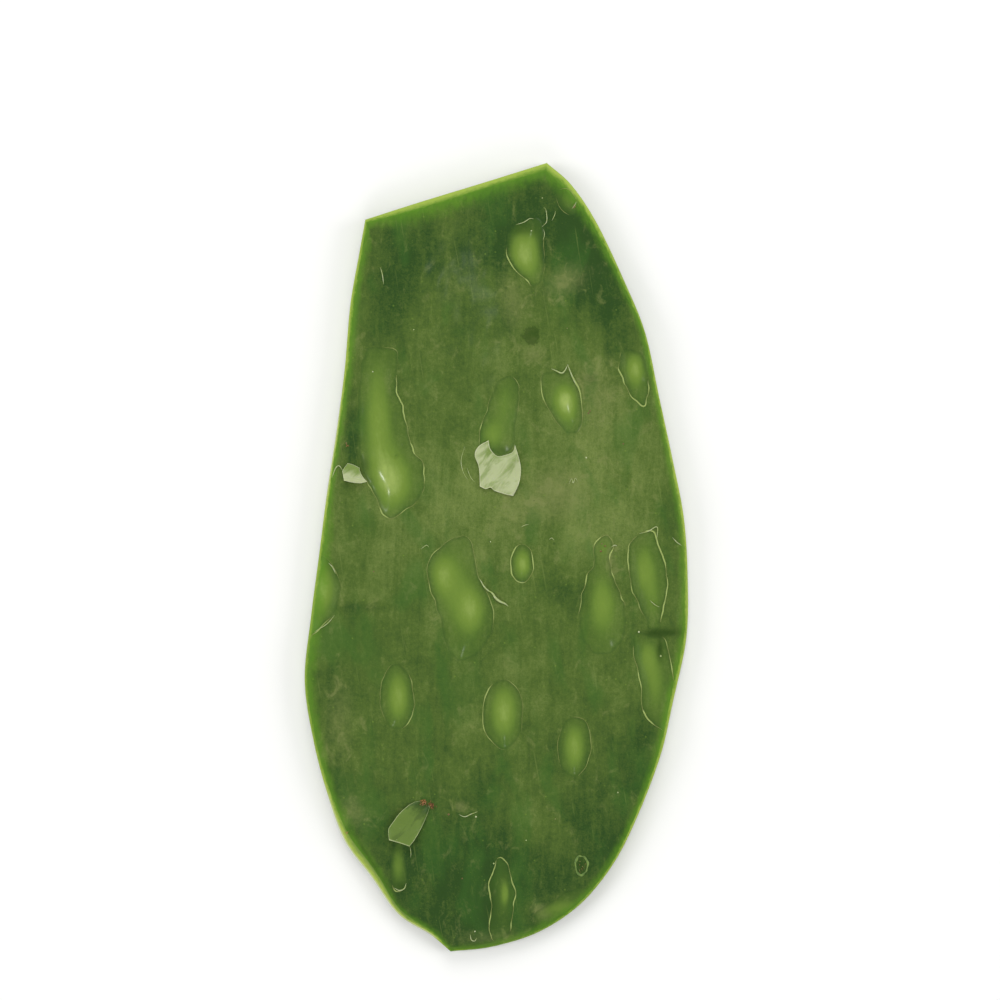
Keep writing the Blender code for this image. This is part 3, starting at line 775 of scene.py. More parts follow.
def sliver_material(name, held, loose, edge, reach, streak, streaks, colours):
    """A sheet of skin: the held colour where it hangs on, fading out between the two shares of reach, the
    loose one at its free end, streaks of one more colour along it, and the edge colour all round."""
    material, tree = new_material(name)
    place = object_place(tree)
    grain = noise(place, 1.0, 3.0, 0.65)
    folds = noise(object_place(tree, (1000, 260, 1000), (3, 8, 1), -0.75), 0.50, 3.0, 0.6, 0.5)
    thick = attribute(tree, "along") + (folds - 0.5) * 0.7 + (grain - 0.5) * 0.25
    shade = blend(thick.clear_of(*reach), loose, held)
    shade = blend(folds.clear_of(0.46, 0.64) * streaks, shade, streak)
    shade = blend(specks(place, 0.9, 0.16, 5.0) * 0.35, shade, colours.sliver_edge)
    rim = (attribute(tree, "brim") + (grain - 0.5) * 0.3).clear_of(0.62, 0.98)
    shade = blend(rim, shade, edge)
    finish_material(
        tree,
        {
            "Base Color": shade,
            "Roughness": 0.40 + grain * 0.2,
            "Normal": bump(grain * 0.5 + folds, 0.2 * MM, 0.7),
        },
        {"Specular IOR Level": 0.15, "Coat Weight": 0.04, "Coat Roughness": 0.2, **SUNK_LIGHT},
    )
    return material


def plain_material(name, dark, light, roughness):
    """Two close colours mottled together."""
    material, tree = new_material(name)
    patch = noise(object_place(tree), 1.4, 2.0, 0.6)
    shade = blend(patch.clear_of(0.35, 0.65), dark, light)
    varying = {"Base Color": shade, "Roughness": roughness + patch * 0.15}
    finish_material(tree, varying, {"Coat Weight": 0.1})
    return material


# ---------------------------------------------------------------------------------------------------
# Curves and fields
# ---------------------------------------------------------------------------------------------------
def smooth_run(rows, steps, closed=False):
    """Catmull-Rom curve through the rows, steps points to a span: each span is the cubic whose slope at a
    row is half the way between that row's neighbours. An open run goes on straight past its ends and
    leaves out its last point."""
    rows = np.array(rows, float)
    if closed:
        padded = np.vstack((rows[-1:], rows, rows[:2]))
    else:
        padded = np.vstack((2 * rows[0] - rows[1], rows, 2 * rows[-1] - rows[-2]))
    before, start, end, after = (padded[k : len(padded) - 3 + k, None] for k in range(4))
    share = (np.arange(steps) / steps)[None, :, None]
    bend = 2 * before - 5 * start + 4 * end - after
    twist = 3 * start - before - 3 * end + after
    curve = start + 0.5 * ((end - before) * share + bend * share**2 + twist * share**3)
    return curve.reshape(-1, rows.shape[1])


def whole_run(rows, steps):
    """An open smooth run with its last point."""
    return np.vstack((smooth_run(rows, steps), np.array(rows[-1:], float)))


def even_points(rows, count, closed=False):
    """The rows at count points an equal way apart, measured along their first two columns."""
    if closed:
        rows = np.vstack((rows, rows[:1]))
    way = np.concatenate(([0.0], np.cumsum(np.hypot(*np.diff(rows[:, :2], axis=0).T))))
    stops = np.linspace(0, way[-1], count, endpoint=not closed)
    return np.column_stack([np.interp(stops, way, column) for column in rows.T])


def waves(x, y, seed, count, shortest, longest):
    """A sum of sines in seeded directions: each has a length between the two given and counts by its
    length, and the whole is scaled to lie about between -1 and 1."""
    random = np.random.default_rng(seed)
    turns = random.uniform(0, math.tau, count)
    lengths = random.uniform(shortest, longest, count)
    phases = random.uniform(0, math.tau, count)
    shares = lengths / np.sqrt((lengths**2).sum())
    total = np.zeros(np.shape(x))
    for turn, length, phase, share in zip(turns, lengths, phases, shares):
        way = x * math.cos(turn) + y * math.sin(turn)
        total = total + share * np.sin(way * math.tau / length + phase)
    return total


def egg(x, y, length, width, turn, taper):
    """Sixteen points of an egg's outline: an ellipse whose width falls by the share taper at one end."""
    angle = -np.arange(16) * math.tau / 16
    across = width / 2 * np.cos(angle) * (1 - taper * np.sin(angle))
    along = length / 2 * np.sin(angle)
    cos, sin = math.cos(math.radians(turn)), math.sin(math.radians(turn))
    return np.column_stack((x + across * cos - along * sin, y + across * sin + along * cos))


class Scoop:
    """One scoop of the knife: a closed outline in metres, a depth, and the pale hearts of flesh in it."""

    def __init__(self, depth, hearts, lips, points, seed):
        loop = smooth_run(np.array(points) * MM, OUTLINE_STEPS, closed=True)
        ahead = np.roll(loop, -1, 0) - np.roll(loop, 1, 0)
        side = np.column_stack((-ahead[:, 1], ahead[:, 0])) / np.hypot(*ahead.T)[:, None]
        wobble = waves(loop[:, 0], loop[:, 1], seed, 5, 2 * MM, 7 * MM) * 0.16 * MM
        self.outline = loop + side * wobble[:, None]
        self.depth, self.hearts, self.lips, self.seed = depth * MM, hearts, lips, seed
        self.deepest = self.fields(*self.inner_points())[1].max()

    def inner_points(self):
        """A grid of points over the outline's box, for finding the deepest one."""
        low, high = self.outline.min(0), self.outline.max(0)
        across, along = np.meshgrid(np.linspace(low[0], high[0], 24), np.linspace(low[1], high[1], 40))
        return across.ravel(), along.ravel()

    def fields(self, x, y):
        """Signed distance to the outline, positive inside, and a soft distance inside it: the inverse
        square mean of the distances to all of the outline, which is the true distance close to a straight
        edge and rises smoothly to one top in the middle."""
        start = self.outline
        step = np.roll(start, -1, axis=0) - start
        length = np.hypot(*step.T)
        way = step / length[:, None]
        from_x, from_y = x[:, None] - start[:, 0], y[:, None] - start[:, 1]
        along = from_x * way[:, 0] + from_y * way[:, 1]
        off = from_x * way[:, 1] - from_y * way[:, 0]
        distance = np.hypot(along - np.clip(along, 0, length), off).min(axis=1)
        rises = (from_y < 0) != (from_y < step[:, 1])
        crossing = from_x * step[:, 1] < from_y * step[:, 0]
        inside = (rises & (crossing == (step[:, 1] > 0))).sum(axis=1) % 2 == 1
        tiny = 1e-9
        rest = length - along
        pull = rest / (np.hypot(rest, off) + tiny) + along / (np.hypot(along, off) + tiny)
        soft = (0.5 * (pull / (off**2 + tiny**2)).sum(axis=1)) ** -0.5
        return np.where(inside, distance, -distance), np.where(inside, soft, 0.0)

    def bowl(self, soft):
        """Share of the full depth: a quarter straight and the rest an even S, so it starts gently."""
        share = np.clip(soft / self.deepest, 0, 1)
        return 0.25 * share + 0.75 * share * share * (3 - 2 * share)

    def paleness(self, x, y, bowl):
        """Each heart is a soft oval of its strength; the bowl's square root holds it in the outline."""
        total = np.zeros(len(x))
        for at_x, at_y, half_width, half_length, strength in self.hearts:
            gap = ((x / MM - at_x) / half_width) ** 2 + ((y / MM - at_y) / half_length) ** 2
            total = total + strength * np.exp(-gap)
        return total * np.sqrt(bowl)

    def runs(self):
        """Stretches of the outline that carry a lip: their points and how strong each is."""
        ring = np.vstack((self.outline, self.outline))
        return [(ring[first * OUTLINE_STEPS : last * OUTLINE_STEPS + 1], strong)
                for first, last, strong in self.lips]


def scoop_layers(x, y, scoops):
    """For points in metres: the deepest hollow, the paleness there and the signed distance to the nearest
    outline. Each scoop is worked out only for the points near it."""
    margin = 6 * MM
    hollow, pale = np.zeros(len(x)), np.zeros(len(x))
    edge = np.full(len(x), -margin)
    for scoop in scoops:
        low, high = scoop.outline.min(0) - margin, scoop.outline.max(0) + margin
        near = np.flatnonzero((x > low[0]) & (x < high[0]) & (y > low[1]) & (y < high[1]))
        if len(near) == 0:
            continue
        signed, soft = scoop.fields(x[near], y[near])
        bowl = scoop.bowl(soft)
        hollow[near] = np.maximum(hollow[near], bowl * scoop.depth)
        pale[near] = np.maximum(pale[near], scoop.paleness(x[near], y[near], bowl))
        edge[near] = np.maximum(edge[near], signed)
    return hollow, pale, edge


def top_scoops():
    """The scoops of the upper face, from their table."""
    return [Scoop(*row[1:], seed) for seed, row in enumerate(TOP_SCOOPS)]


def under_scoops():
    """The scoops of the underside, each an egg with one long heart and two lips."""
    made = []
    for seed, (depth, x, y, length, width, turn, taper) in enumerate(UNDER_SCOOPS):
        heart = (x, y, width * 0.4, length * 0.4, UNDER_PALE)
        outline = egg(x, y, length, width, turn, taper)
        made.append(Scoop(depth, (heart,), UNDER_LIPS, outline, 100 + seed))
    return made


class PadForm:
    """The pad's outline and the heights of its two faces."""

    def __init__(self, shape):
        self.shape = shape
        runs = [smooth_run(run, RIM_STEPS) for run in (STALK_CUT, RIGHT_RIM, LEFT_RIM)]
        rows = np.vstack(runs)
        low, high = rows[:, :2].min(axis=0), rows[:, :2].max(axis=0)
        rows[:, :2] = ((rows[:, :2] - low) / (high - low) - 0.5) * (shape.width, shape.length)
        rows[:, 2:4] *= MM
        self.reach = np.hypot(rows[:, 0], rows[:, 1])
        self.direction = np.arctan2(rows[:, 1], rows[:, 0])
        self.edge = rows[:, :2] * (1 - rows[:, 2] / self.reach)[:, None]
        self.edge_reach = self.reach - rows[:, 2]
        ahead = np.roll(rows[:, :2], -1, axis=0) - np.roll(rows[:, :2], 1, axis=0)
        turned = rows[:, 1] * ahead[:, 0] - rows[:, 0] * ahead[:, 1]
        self.square = np.abs(turned) / (np.hypot(*ahead.T) * self.reach)
        self.rows = rows
        self.lower_right = len(runs[0]) + LOWER_RIGHT_ROW * RIM_STEPS
        self.lower_left = len(runs[0]) + len(runs[1]) + LOWER_LEFT_ROW * RIM_STEPS
        self.upper_right = len(runs[0])
        self.scoops = top_scoops()
        self.under_scoops = under_scoops()

    def by_direction(self, x, y, column):
        """A value of the rim in the direction of each point."""
        return np.interp(np.arctan2(y, x), self.direction, column, period=math.tau)

    def smooth_top(self, x, y):
        """Height of the upper face before the knife: the crown, an even S from tip to stalk end, falls
        with a power of the share of the way out to the height of the rim's upper edge, gentle waves lie on
        it, and the last of the way rounds off with the square of how near the edge is."""
        shape = self.shape
        s = np.clip(y / shape.length + 0.5, 0, 1)
        crown = shape.crown_at_tip + (shape.crown_at_stalk - shape.crown_at_tip) * s * s * (3 - 2 * s)
        share = np.clip(np.hypot(x, y) / self.by_direction(x, y, self.edge_reach), 0, 1)
        fall = share**shape.crown_fall
        edge = self.by_direction(x, y, self.rows[:, 3])
        broad = waves(x, y / 2.2, 7, 7, 16 * MM, 40 * MM)
        close = waves(x, y / 1.5, 8, 9, 3.5 * MM, 8 * MM)
        shoulder = np.clip(1 - self.gap(x, y, self.edge_reach) / shape.shoulder_width, 0, 1) ** 2
        height = crown * (1 - fall) + edge * fall + shape.ripple * (broad + 0.16 * close)
        return height - shape.shoulder_drop * shoulder

    def top(self, x, y):
        """Height of the upper face with its scoops."""
        return self.smooth_top(x, y) - scoop_layers(x, y, self.scoops)[0]

    def smooth_under(self, x, y):
        """Height of the underside: flat, then rising with the square of the rest of the way to the rim."""
        share = np.hypot(x, y) / self.by_direction(x, y, self.reach)
        flat = self.shape.flat_share
        return self.shape.foot * (np.maximum(share - flat, 0) / (1 - flat)) ** 2

    def under(self, x, y):
        """Height of the underside with its scoops."""
        return self.smooth_under(x, y) + scoop_layers(x, y, self.under_scoops)[0]

    def gap(self, x, y, reach):
        """How far inside a line each point is, where the line is given by its reach in each direction: the
        rest of the point's ray, times how squarely the ray meets the rim."""
        rest = self.by_direction(x, y, reach) - np.hypot(x, y)
        return rest * self.by_direction(x, y, self.square)

    def inward(self, x, y):
        """How far inside the outline each point is."""
        return self.gap(x, y, self.reach)

    def edges(self, across, along):
        """The four edges of the skin's grid, each a part of the rim: rows of the upper edge's x and y and
        the rim's x and y."""
        rows = np.column_stack((self.edge, self.rows[:, :2]))
        rows = np.vstack((rows, rows[:1]))
        right = even_points(rows[self.upper_right : self.lower_right + 1][::-1], along + 1)
        bottom = even_points(rows[self.lower_right : self.lower_left + 1][::-1], across + 1)
        left = even_points(rows[self.lower_left :], along + 1)
        top = even_points(rows[: self.upper_right + 1], across + 1)
        return bottom, right, top, left


# ---------------------------------------------------------------------------------------------------
# Meshes
# ---------------------------------------------------------------------------------------------------
def fill_between(bottom, right, top, left):
    """Coons grid between four edges: the blends across and along, added, less that of the corners."""
    u = np.linspace(0, 1, len(bottom))[None, :, None]
    v = np.linspace(0, 1, len(left))[:, None, None]
    across = (1 - u) * left[:, None] + u * right[:, None]
    along = (1 - v) * bottom[None] + v * top[None]
    corners = (1 - v) * ((1 - u) * bottom[0] + u * bottom[-1]) + v * ((1 - u) * top[0] + u * top[-1])
    return across + along - corners


def grid_index(rows, columns, first=0):
    """Vertex numbers of a grid, counted row by row from the first."""
    return first + np.arange(rows * columns).reshape(rows, columns)


def grid_faces(index):
    """Quads of a grid of vertex numbers, facing up where columns run along +X and rows along +Y."""
    corners = (index[:-1, :-1], index[:-1, 1:], index[1:, 1:], index[1:, :-1])
    return np.stack(corners, axis=-1).reshape(-1, 4)


def brim(index):
    """Vertex numbers round a grid's edge, anticlockwise from its first corner."""
    return np.concatenate((index[0, :-1], index[:-1, -1], index[-1, :0:-1], index[:0:-1, 0]))


def wall_faces(upper, lower):
    """Quads between two closed rings of the same count, facing out where the rings run anticlockwise."""
    return np.column_stack((upper, lower, np.roll(lower, -1), np.roll(upper, -1)))


def capped(verts, index, poles):
    """Quads of a grid of closed rings, with a fan of triangles from each end ring to a pole of its own."""
    index = np.hstack((index, index[:, :1]))
    faces = grid_faces(index).tolist()
    low, high = (np.full(index.shape[1] - 1, len(verts) + end) for end in range(2))
    faces += np.column_stack((low, index[0, 1:], index[0, :-1])).tolist()
    faces += np.column_stack((high, index[-1, :-1], index[-1, 1:])).tolist()
    return np.vstack((verts, poles)), faces


def carry_oval(path, half_width, half_height, sides=OVAL_SIDES, closed=False):
    """An oval carried along a path: it stands square to the path, half_width to the sides in plan and
    half_height up and down. An open run is closed by one point at each end. Returns vertices and faces."""
    if closed:
        ahead = np.roll(path, -1, axis=0) - np.roll(path, 1, axis=0)
    else:
        ahead = np.gradient(path, axis=0)
    ahead = ahead / np.linalg.norm(ahead, axis=1)[:, None]
    side = np.column_stack((-ahead[:, 1], ahead[:, 0], np.zeros(len(path))))
    side = side / np.maximum(np.linalg.norm(side, axis=1), 1e-9)[:, None]
    up = np.cross(ahead, side)
    turn = (np.arange(sides) * math.tau / sides)[None, :, None]
    wide = np.broadcast_to(half_width, len(path))[:, None, None] * side[:, None] * np.cos(turn)
    high = np.broadcast_to(half_height, len(path))[:, None, None] * up[:, None] * np.sin(turn)
    verts = (path[:, None] + wide + high).reshape(-1, 3)
    index = grid_index(len(path), sides)
    if closed:
        return verts, grid_faces(np.pad(index, ((0, 1), (0, 1)), "wrap")).tolist()
    return capped(verts, index, path[[0, -1]])


def join_shapes(shapes):
    """Several lists of vertices and faces as one."""
    verts, faces, count = [], [], 0
    for points, polygons in shapes:
        verts.append(points)
        faces.extend([[corner + count for corner in polygon] for polygon in polygons])
        count += len(points)
    return np.vstack(verts), faces


def add_piece(name, verts, faces, material, slot, numbers=None):
    """A smooth-shaded mesh object at the origin that rides with the pad, and numbers at its vertices."""
    mesh = bpy.data.meshes.new(name)
    mesh.from_pydata(np.asarray(verts, float).tolist(), [], faces)
    mesh.shade_smooth()
    mesh.materials.append(material)
    for label, values in (numbers or {}).items():
        layer = mesh.attributes.new(label, "FLOAT", "POINT")
        layer.data.foreach_set("value", np.ascontiguousarray(values, np.float32))
    if mesh.validate():
        raise RuntimeError(f"{name} has broken faces")
    piece = bpy.data.objects.new(name, mesh)
    bpy.context.scene.collection.objects.link(piece)
    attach(piece, BODY)
    return piece


def crease(mesh, *rings):
    """Marks the edges along each ring of vertices as sharp."""
    pairs = np.empty(len(mesh.edges) * 2, int)
    mesh.edges.foreach_get("vertices", pairs)
    pairs = pairs.reshape(-1, 2)
    sharp = np.zeros(len(pairs), bool)
    for ring in rings:
        on_ring = np.zeros(len(mesh.vertices), bool)
        on_ring[ring] = True
        sharp |= on_ring[pairs].all(axis=1)
    mesh.edges.foreach_set("use_edge_sharp", sharp)


def ovals(x, y, table):
    """The sum of soft ovals, each its strength times a bell of the distance from its middle in its own
    turned frame."""
    total = np.zeros(np.shape(x))
    for at_x, at_y, half_width, half_length, turn, strength in table:
        cos, sin = math.cos(math.radians(turn)), math.sin(math.radians(turn))
        from_x, from_y = x / MM - at_x, y / MM - at_y
        across = (from_x * cos + from_y * sin) / half_width
        along = (from_y * cos - from_x * sin) / half_length
        total = total + strength * np.exp(-(across**2) - along**2)
    return total


def trimmed_rim(top_ring, foot, rows):
    """The rim's rows under its upper edge: straight lines from there to the foot, hollowed by half a sine,
    with knife marks, a sum of sines round and down the rim. Returns the points and each row's share."""
    share = np.linspace(0, 1, rows + 1)[1:, None, None]
    rim = top_ring + (foot - top_ring) * share
    inwards = foot[:, :2] / np.hypot(*foot[:, :2].T)[:, None]
    way = np.concatenate(([0], np.cumsum(np.hypot(*np.diff(foot[:, :2], axis=0).T))))
    marks = RIM_MARKS * (1 + waves(way, share[..., 0] * 8 * MM, 21, 8, 5 * MM, 22 * MM))
    sag = (RIM_HOLLOW + np.abs(marks)) * np.sin(math.pi * share[..., 0])
    rim[..., :2] -= inwards * sag[..., None]
    return rim, share[:, 0, 0]


def pad_faces(top_index, rings, under_index):
    """The upper face, the rim between its rings, the underside, and between the last ring and the
    underside's edge three triangles to each of its cells, as the ring has twice as many points."""
    faces = grid_faces(top_index).tolist()
    for upper_ring, lower_ring in zip(rings, rings[1:]):
        faces += wall_faces(upper_ring, lower_ring).tolist()
    edge = brim(under_index)
    even, odd = rings[-1][::2], rings[-1][1::2]
    after, after_even = np.roll(edge, -1), np.roll(even, -1)
    faces += np.column_stack((even, edge, odd)).tolist()
    faces += np.column_stack((edge, after, odd)).tolist()
    faces += np.column_stack((odd, after, after_even)).tolist()
    return faces + grid_faces(under_index)[:, ::-1].tolist()


class NOPAL_OT_pad_body(bpy.types.Operator):
    """Builds the pad's skin with its trimmed rim and the scoops on both faces"""

    bl_idname = "nopal.pad_body"
    bl_label = "Pad Body"

    def execute(self, context):
        shape = context.scene.nopal_shape
        form = PadForm(shape)
        across, along = shape.cells_across, shape.cells_along
        edges = form.edges(across, along)

        top = fill_between(*edges)[..., :2].reshape(-1, 2)
        x, y = top.T
        hollow, pale, edge = scoop_layers(x, y, form.scoops)
        top = np.column_stack((top, form.smooth_top(x, y) - hollow))
        top_index = grid_index(along + 1, across + 1)
        ring = brim(top_index)

        bottom, right, upper, left = edges
        around = np.vstack((bottom[:-1], right[:-1], upper[:0:-1], left[:0:-1]))
        foot = np.column_stack((around[:, 2:4], np.full(len(around), shape.foot)))
        rim, share = trimmed_rim(top[ring], foot, shape.rim_rows)
        rim_index = grid_index(shape.rim_rows, len(ring), len(top))
        rings = np.vstack((ring, rim_index))

        coarse = [run[::2, 2:4] * UNDER_REACH for run in edges]
        under = fill_between(*coarse)
        rows, columns = under.shape[:2]
        under = under.reshape(-1, 2)
        under_x, under_y = under.T
        rise, under_pale, under_edge = scoop_layers(under_x, under_y, form.under_scoops)
        under = np.column_stack((under, form.smooth_under(under_x, under_y) + rise))
        under_index = grid_index(rows, columns, len(top) + rim_index.size)

        rim_flat = rim.reshape(-1, 3)
        rim_edge = np.tile(edge[ring], shape.rim_rows)
        rim_paleness = np.tile(pale[ring], shape.rim_rows)
        rim_share = np.repeat(share, len(ring))
        verts = np.vstack((top, rim_flat, under))
        all_x, all_y = verts[:, 0], verts[:, 1]
        on_top = np.concatenate((np.ones(len(top) + len(rim_flat)), np.zeros(len(under))))
        piece = add_piece(
            "pad_body",
            verts,
            pad_faces(top_index, rings, under_index),
            pad_material(context.scene.nopal_colours),
            "pad_skin",
            {
                "tone": 0.5 + ovals(all_x, all_y, TONE_PATCHES) * (0.4 + 0.6 * on_top),
                "olive": ovals(all_x, all_y, OLIVE_AND_SHEEN_PATCHES) * on_top,
                "dark_mark": np.clip(ovals(all_x, all_y, DARK_MARKS_AND_SHADE), 0, 1) * on_top,
                "bruise": ovals(all_x, all_y, DARK_BLOTCH) * on_top,
                "scoop_edge": np.concatenate((edge, rim_edge, under_edge)) / MM,
                "pale": np.concatenate((pale, rim_paleness, under_pale)),
                "inward": form.inward(all_x, all_y) / MM,
                "rim_share": np.concatenate((np.zeros(len(top)), rim_share, np.zeros(len(under)))),
                "rim_pale": form.by_direction(all_x, all_y, form.rows[:, 4]),
                "rim_glow": form.by_direction(all_x, all_y, form.rows[:, 5]),
                "rim_band": form.by_direction(all_x, all_y, form.rows[:, 6]),
            },
        )
        crease(piece.data, rings[-1])
        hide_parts("pad")
        return {"FINISHED"}


def lip_shape(run, strong, seed, form, height, side, sizes):
    """One lip along a run of outline: an oval whose width and height follow its strength, which fades to
    nothing at both ends and wavers with a sum of sines between. Points beyond the rim are left out.
    Returns vertices, faces and the strength at each vertex, or nothing where too little is left."""
    count = max(8, int(np.hypot(*np.diff(run, axis=0).T).sum() / LIP_STEP))
    run = even_points(run, count)
    run = run[form.inward(*run.T) > LIP_MARGIN]
    if len(run) < 6:
        return None
    share = np.linspace(0, 1, len(run))
    ends = np.clip(np.minimum(share, 1 - share) * len(run) / 6, 0, 1)
    waver = waves(run[:, 0], run[:, 1], 40 + seed, 9, 1.6 * MM, 9 * MM)
    strength = np.clip(strong * (0.85 + 0.65 * waver), 0.4 * strong, 1.2) * (0.1 + 0.9 * ends)
    half_height = sizes.lip_height / 2 * (0.4 + 0.6 * strength)
    level = height(*run.T) + side * (strength - 0.6) * sizes.lip_height / 2
    if side < 0:
        level = np.maximum(level, half_height + 0.01 * MM)
    path = np.column_stack((run, level))
    verts, faces = carry_oval(path, sizes.lip_width / 2 * (0.2 + 0.8 * strength), half_height)
    ends_too = np.concatenate((np.repeat(strength, OVAL_SIDES), strength[[0, -1]]))
    return verts, faces, ends_too


class NOPAL_OT_cut_lips(bpy.types.Operator):
    """Raises the thin lips of cut skin along the scoops"""

    bl_idname = "nopal.cut_lips"
    bl_label = "Cut Lips"

    def execute(self, context):
        form = PadForm(context.scene.nopal_shape)
        sizes = context.scene.nopal_cuts
        shapes = []
        for scoops, height, side in ((form.scoops, form.top, 1), (form.under_scoops, form.under, -1)):
            for scoop in scoops:
                for run, strong in scoop.runs():
                    shape = lip_shape(run, strong, scoop.seed, form, height, side, sizes)
                    if shape:
                        shapes.append(shape)
        verts, faces = join_shapes([shape[:2] for shape in shapes])
        strength = np.concatenate([shape[2] for shape in shapes])
        material = lip_material(context.scene.nopal_colours)
        add_piece("cut_lips", verts, faces, material, "cut_flesh", {"strength": strength})
        return {"FINISHED"}


def sliver_sheet(form, sliver, sizes):
    """A thin closed sheet: a Coons grid between four edges in plan. It grows out of the skin at its held
    end, stands off with the root of the way from there, more towards its free end with the square of the
    way and towards its sides with the square of theirs, and is creased along its folds, each a ridge that
    falls off with the distance from its line. The thickness is halved up and down, and a wall joins the
    two faces all round."""
    sides = (("bottom", SLIVER_ACROSS), ("right", SLIVER_ALONG),
             ("top", SLIVER_ACROSS), ("left", SLIVER_ALONG))
    edges = [even_points(whole_run(np.array(sliver[side]) * MM, 12), count) for side, count in sides]
    plan = fill_between(*edges)
    rows, columns = plan.shape[:2]
    u = np.broadcast_to(np.linspace(-1, 1, columns)[None, :], (rows, columns))
    v = np.broadcast_to(np.linspace(0, 1, rows)[:, None], (rows, columns))
    x, y = plan.reshape(-1, 2).T
    crumple = waves(x, y, 61, 6, 2.5 * MM, 8 * MM).reshape(rows, columns)
    lift = sliver["stand"] * np.sqrt(1 - v) + sliver["free_end"] * (1 - v) ** 2
    lift = lift + sliver["free_side"] * u**2 * (1 - v)
    for start_x, start_y, end_x, end_y, height, reach in sliver["folds"]:
        along = np.array((end_x - start_x, end_y - start_y))
        off = ((x / MM - start_x) * along[1] - (y / MM - start_y) * along[0]) / np.hypot(*along)
        lift = lift + height * np.exp(-np.abs(off) / reach).reshape(rows, columns)
    level = form.smooth_top(x, y).reshape(rows, columns) + (lift + 0.10 * crumple) * MM
    inset = np.minimum(1 - np.abs(u), 2 * np.minimum(v, 1 - v))
    body = np.sqrt(np.clip(inset * 4, 0, 1))
    half = (sizes.sliver_edge + (sizes.sliver_thickness - sizes.sliver_edge) * body) / 2
    level = np.minimum(level, CAD_HIGH.z - half - 0.02 * MM)
    upper = np.column_stack((x, y, (level + half).ravel()))
    lower = np.column_stack((x, y, (level - half).ravel()))
    upper_index = grid_index(rows, columns)
    lower_index = grid_index(rows, columns, upper_index.size)
    faces = grid_faces(upper_index).tolist() + grid_faces(lower_index)[:, ::-1].tolist()
    faces += wall_faces(brim(upper_index), brim(lower_index)).tolist()
    numbers = {"along": np.tile(v.ravel(), 2), "brim": np.tile(1 - np.clip(inset * 7, 0, 1).ravel(), 2)}
    return np.vstack((upper, lower)), faces, numbers


class NOPAL_OT_slivers(bpy.types.Operator):
    """Lays the three slivers of skin that still hang on by one end"""

    bl_idname = "nopal.slivers"
    bl_label = "Hanging Slivers"

    def execute(self, context):
        form = PadForm(context.scene.nopal_shape)
        colours = context.scene.nopal_colours
        pale = (colours.sliver_green, colours.sliver_flesh, colours.sliver_edge, (0.72, 1.1),
                colours.sliver_green, 0.65)
        # The leafy sliver's held colour is dark green skin with painted shade near where it hangs on.
        leaf = (colours.sliver_dark_and_shade, colours.leaf_green, colours.leaf_edge, (0.50, 0.90),
                colours.skin_mid, 0.75)
        small = (*pale[:3], (0.25, 0.75), colours.sliver_green, 0.3)
        for sliver, look in ((SLIVER_LEFT, small), (SLIVER_MIDDLE, pale), (SLIVER_LOWER, leaf)):
            verts, faces, numbers = sliver_sheet(form, sliver, context.scene.nopal_cuts)
            material = sliver_material(sliver["name"] + "_skin", *look, colours)
            add_piece(sliver["name"], verts, faces, material, "cut_flesh", numbers)
        return {"FINISHED"}


class NOPAL_OT_fibres(bpy.types.Operator):
    """Lays the torn fibres along the edges of the cuts"""

    bl_idname = "nopal.fibres"
    bl_label = "Torn Fibres"

    def execute(self, context):
        form = PadForm(context.scene.nopal_shape)
        colours = context.scene.nopal_colours
        shapes = []
        for thickness, arch, points in FIBRES:
            run = whole_run(np.array(points) * MM, 10)
            run = even_points(run, max(12, int(len(points) * 6)))
            share = np.linspace(0, 1, len(run))
            taper = np.sin(math.pi * np.clip(share, 0.03, 0.97)) ** 0.6
            level = form.top(*run.T) + thickness * 0.4 * MM + arch * MM * np.sin(math.pi * share) ** 2
            path = np.column_stack((run, level))
            shapes.append(carry_oval(path, thickness * MM * taper, thickness * 0.7 * MM * taper, 6))
        material = plain_material("torn_fibre", colours.lip, colours.sliver_flesh, 0.4)
        add_piece("torn_fibres", *join_shapes(shapes), material, "cut_flesh")
        return {"FINISHED"}


class NOPAL_OT_areole(bpy.types.Operator):
    """Raises the one spine cushion that the knife missed"""

    bl_idname = "nopal.areole"
    bl_label = "Uncut Areole"

    def execute(self, context):
        form = PadForm(context.scene.nopal_shape)
        colours = context.scene.nopal_colours
        x, y, wide, long = np.array(AREOLE) * MM
        turn = np.arange(64) * math.tau / 64
        uneven = 1 + 0.04 * np.sin(3 * turn + 0.9) + 0.03 * np.sin(7 * turn)
        ring_x = x + wide / 2 * np.cos(turn) * uneven
        ring_y = y + long / 2 * np.sin(turn) * uneven
        path = np.column_stack((ring_x, ring_y, form.top(ring_x, ring_y) - 0.02 * MM))
        width = (0.26 + 0.09 * np.sin(3 * turn + 0.4) + 0.05 * np.sin(8 * turn)) * MM
        material = plain_material("areole_rim", colours.flesh_deep, colours.flesh_mid, 0.45)
        verts, faces = carry_oval(path, width, 0.16 * MM, 10, closed=True)
        add_piece("uncut_areole", verts, faces, material, "pad_skin")
        return {"FINISHED"}


def round_grain(x, y, height, half_width):
    """A flattened ball on the skin: five rings of eight, each a slice of a sphere squashed to half its
    height, closed by a point at each pole."""
    rise = (np.arange(1, GRAIN_RINGS + 1) / (GRAIN_RINGS + 1) * math.pi)[:, None]
    turn = (np.arange(OVAL_SIDES) * math.tau / OVAL_SIDES)[None, :]
    ring_x = x + half_width * np.sin(rise) * np.cos(turn)
    ring_y = y + half_width * np.sin(rise) * np.sin(turn)
    ring_z = height - half_width * 0.5 * np.cos(rise) + 0 * turn
    verts = np.column_stack((ring_x.ravel(), ring_y.ravel(), ring_z.ravel()))
    poles = np.array(((x, y, height - half_width * 0.5), (x, y, height + half_width * 0.5)))
    return capped(verts, grid_index(GRAIN_RINGS, OVAL_SIDES), poles)


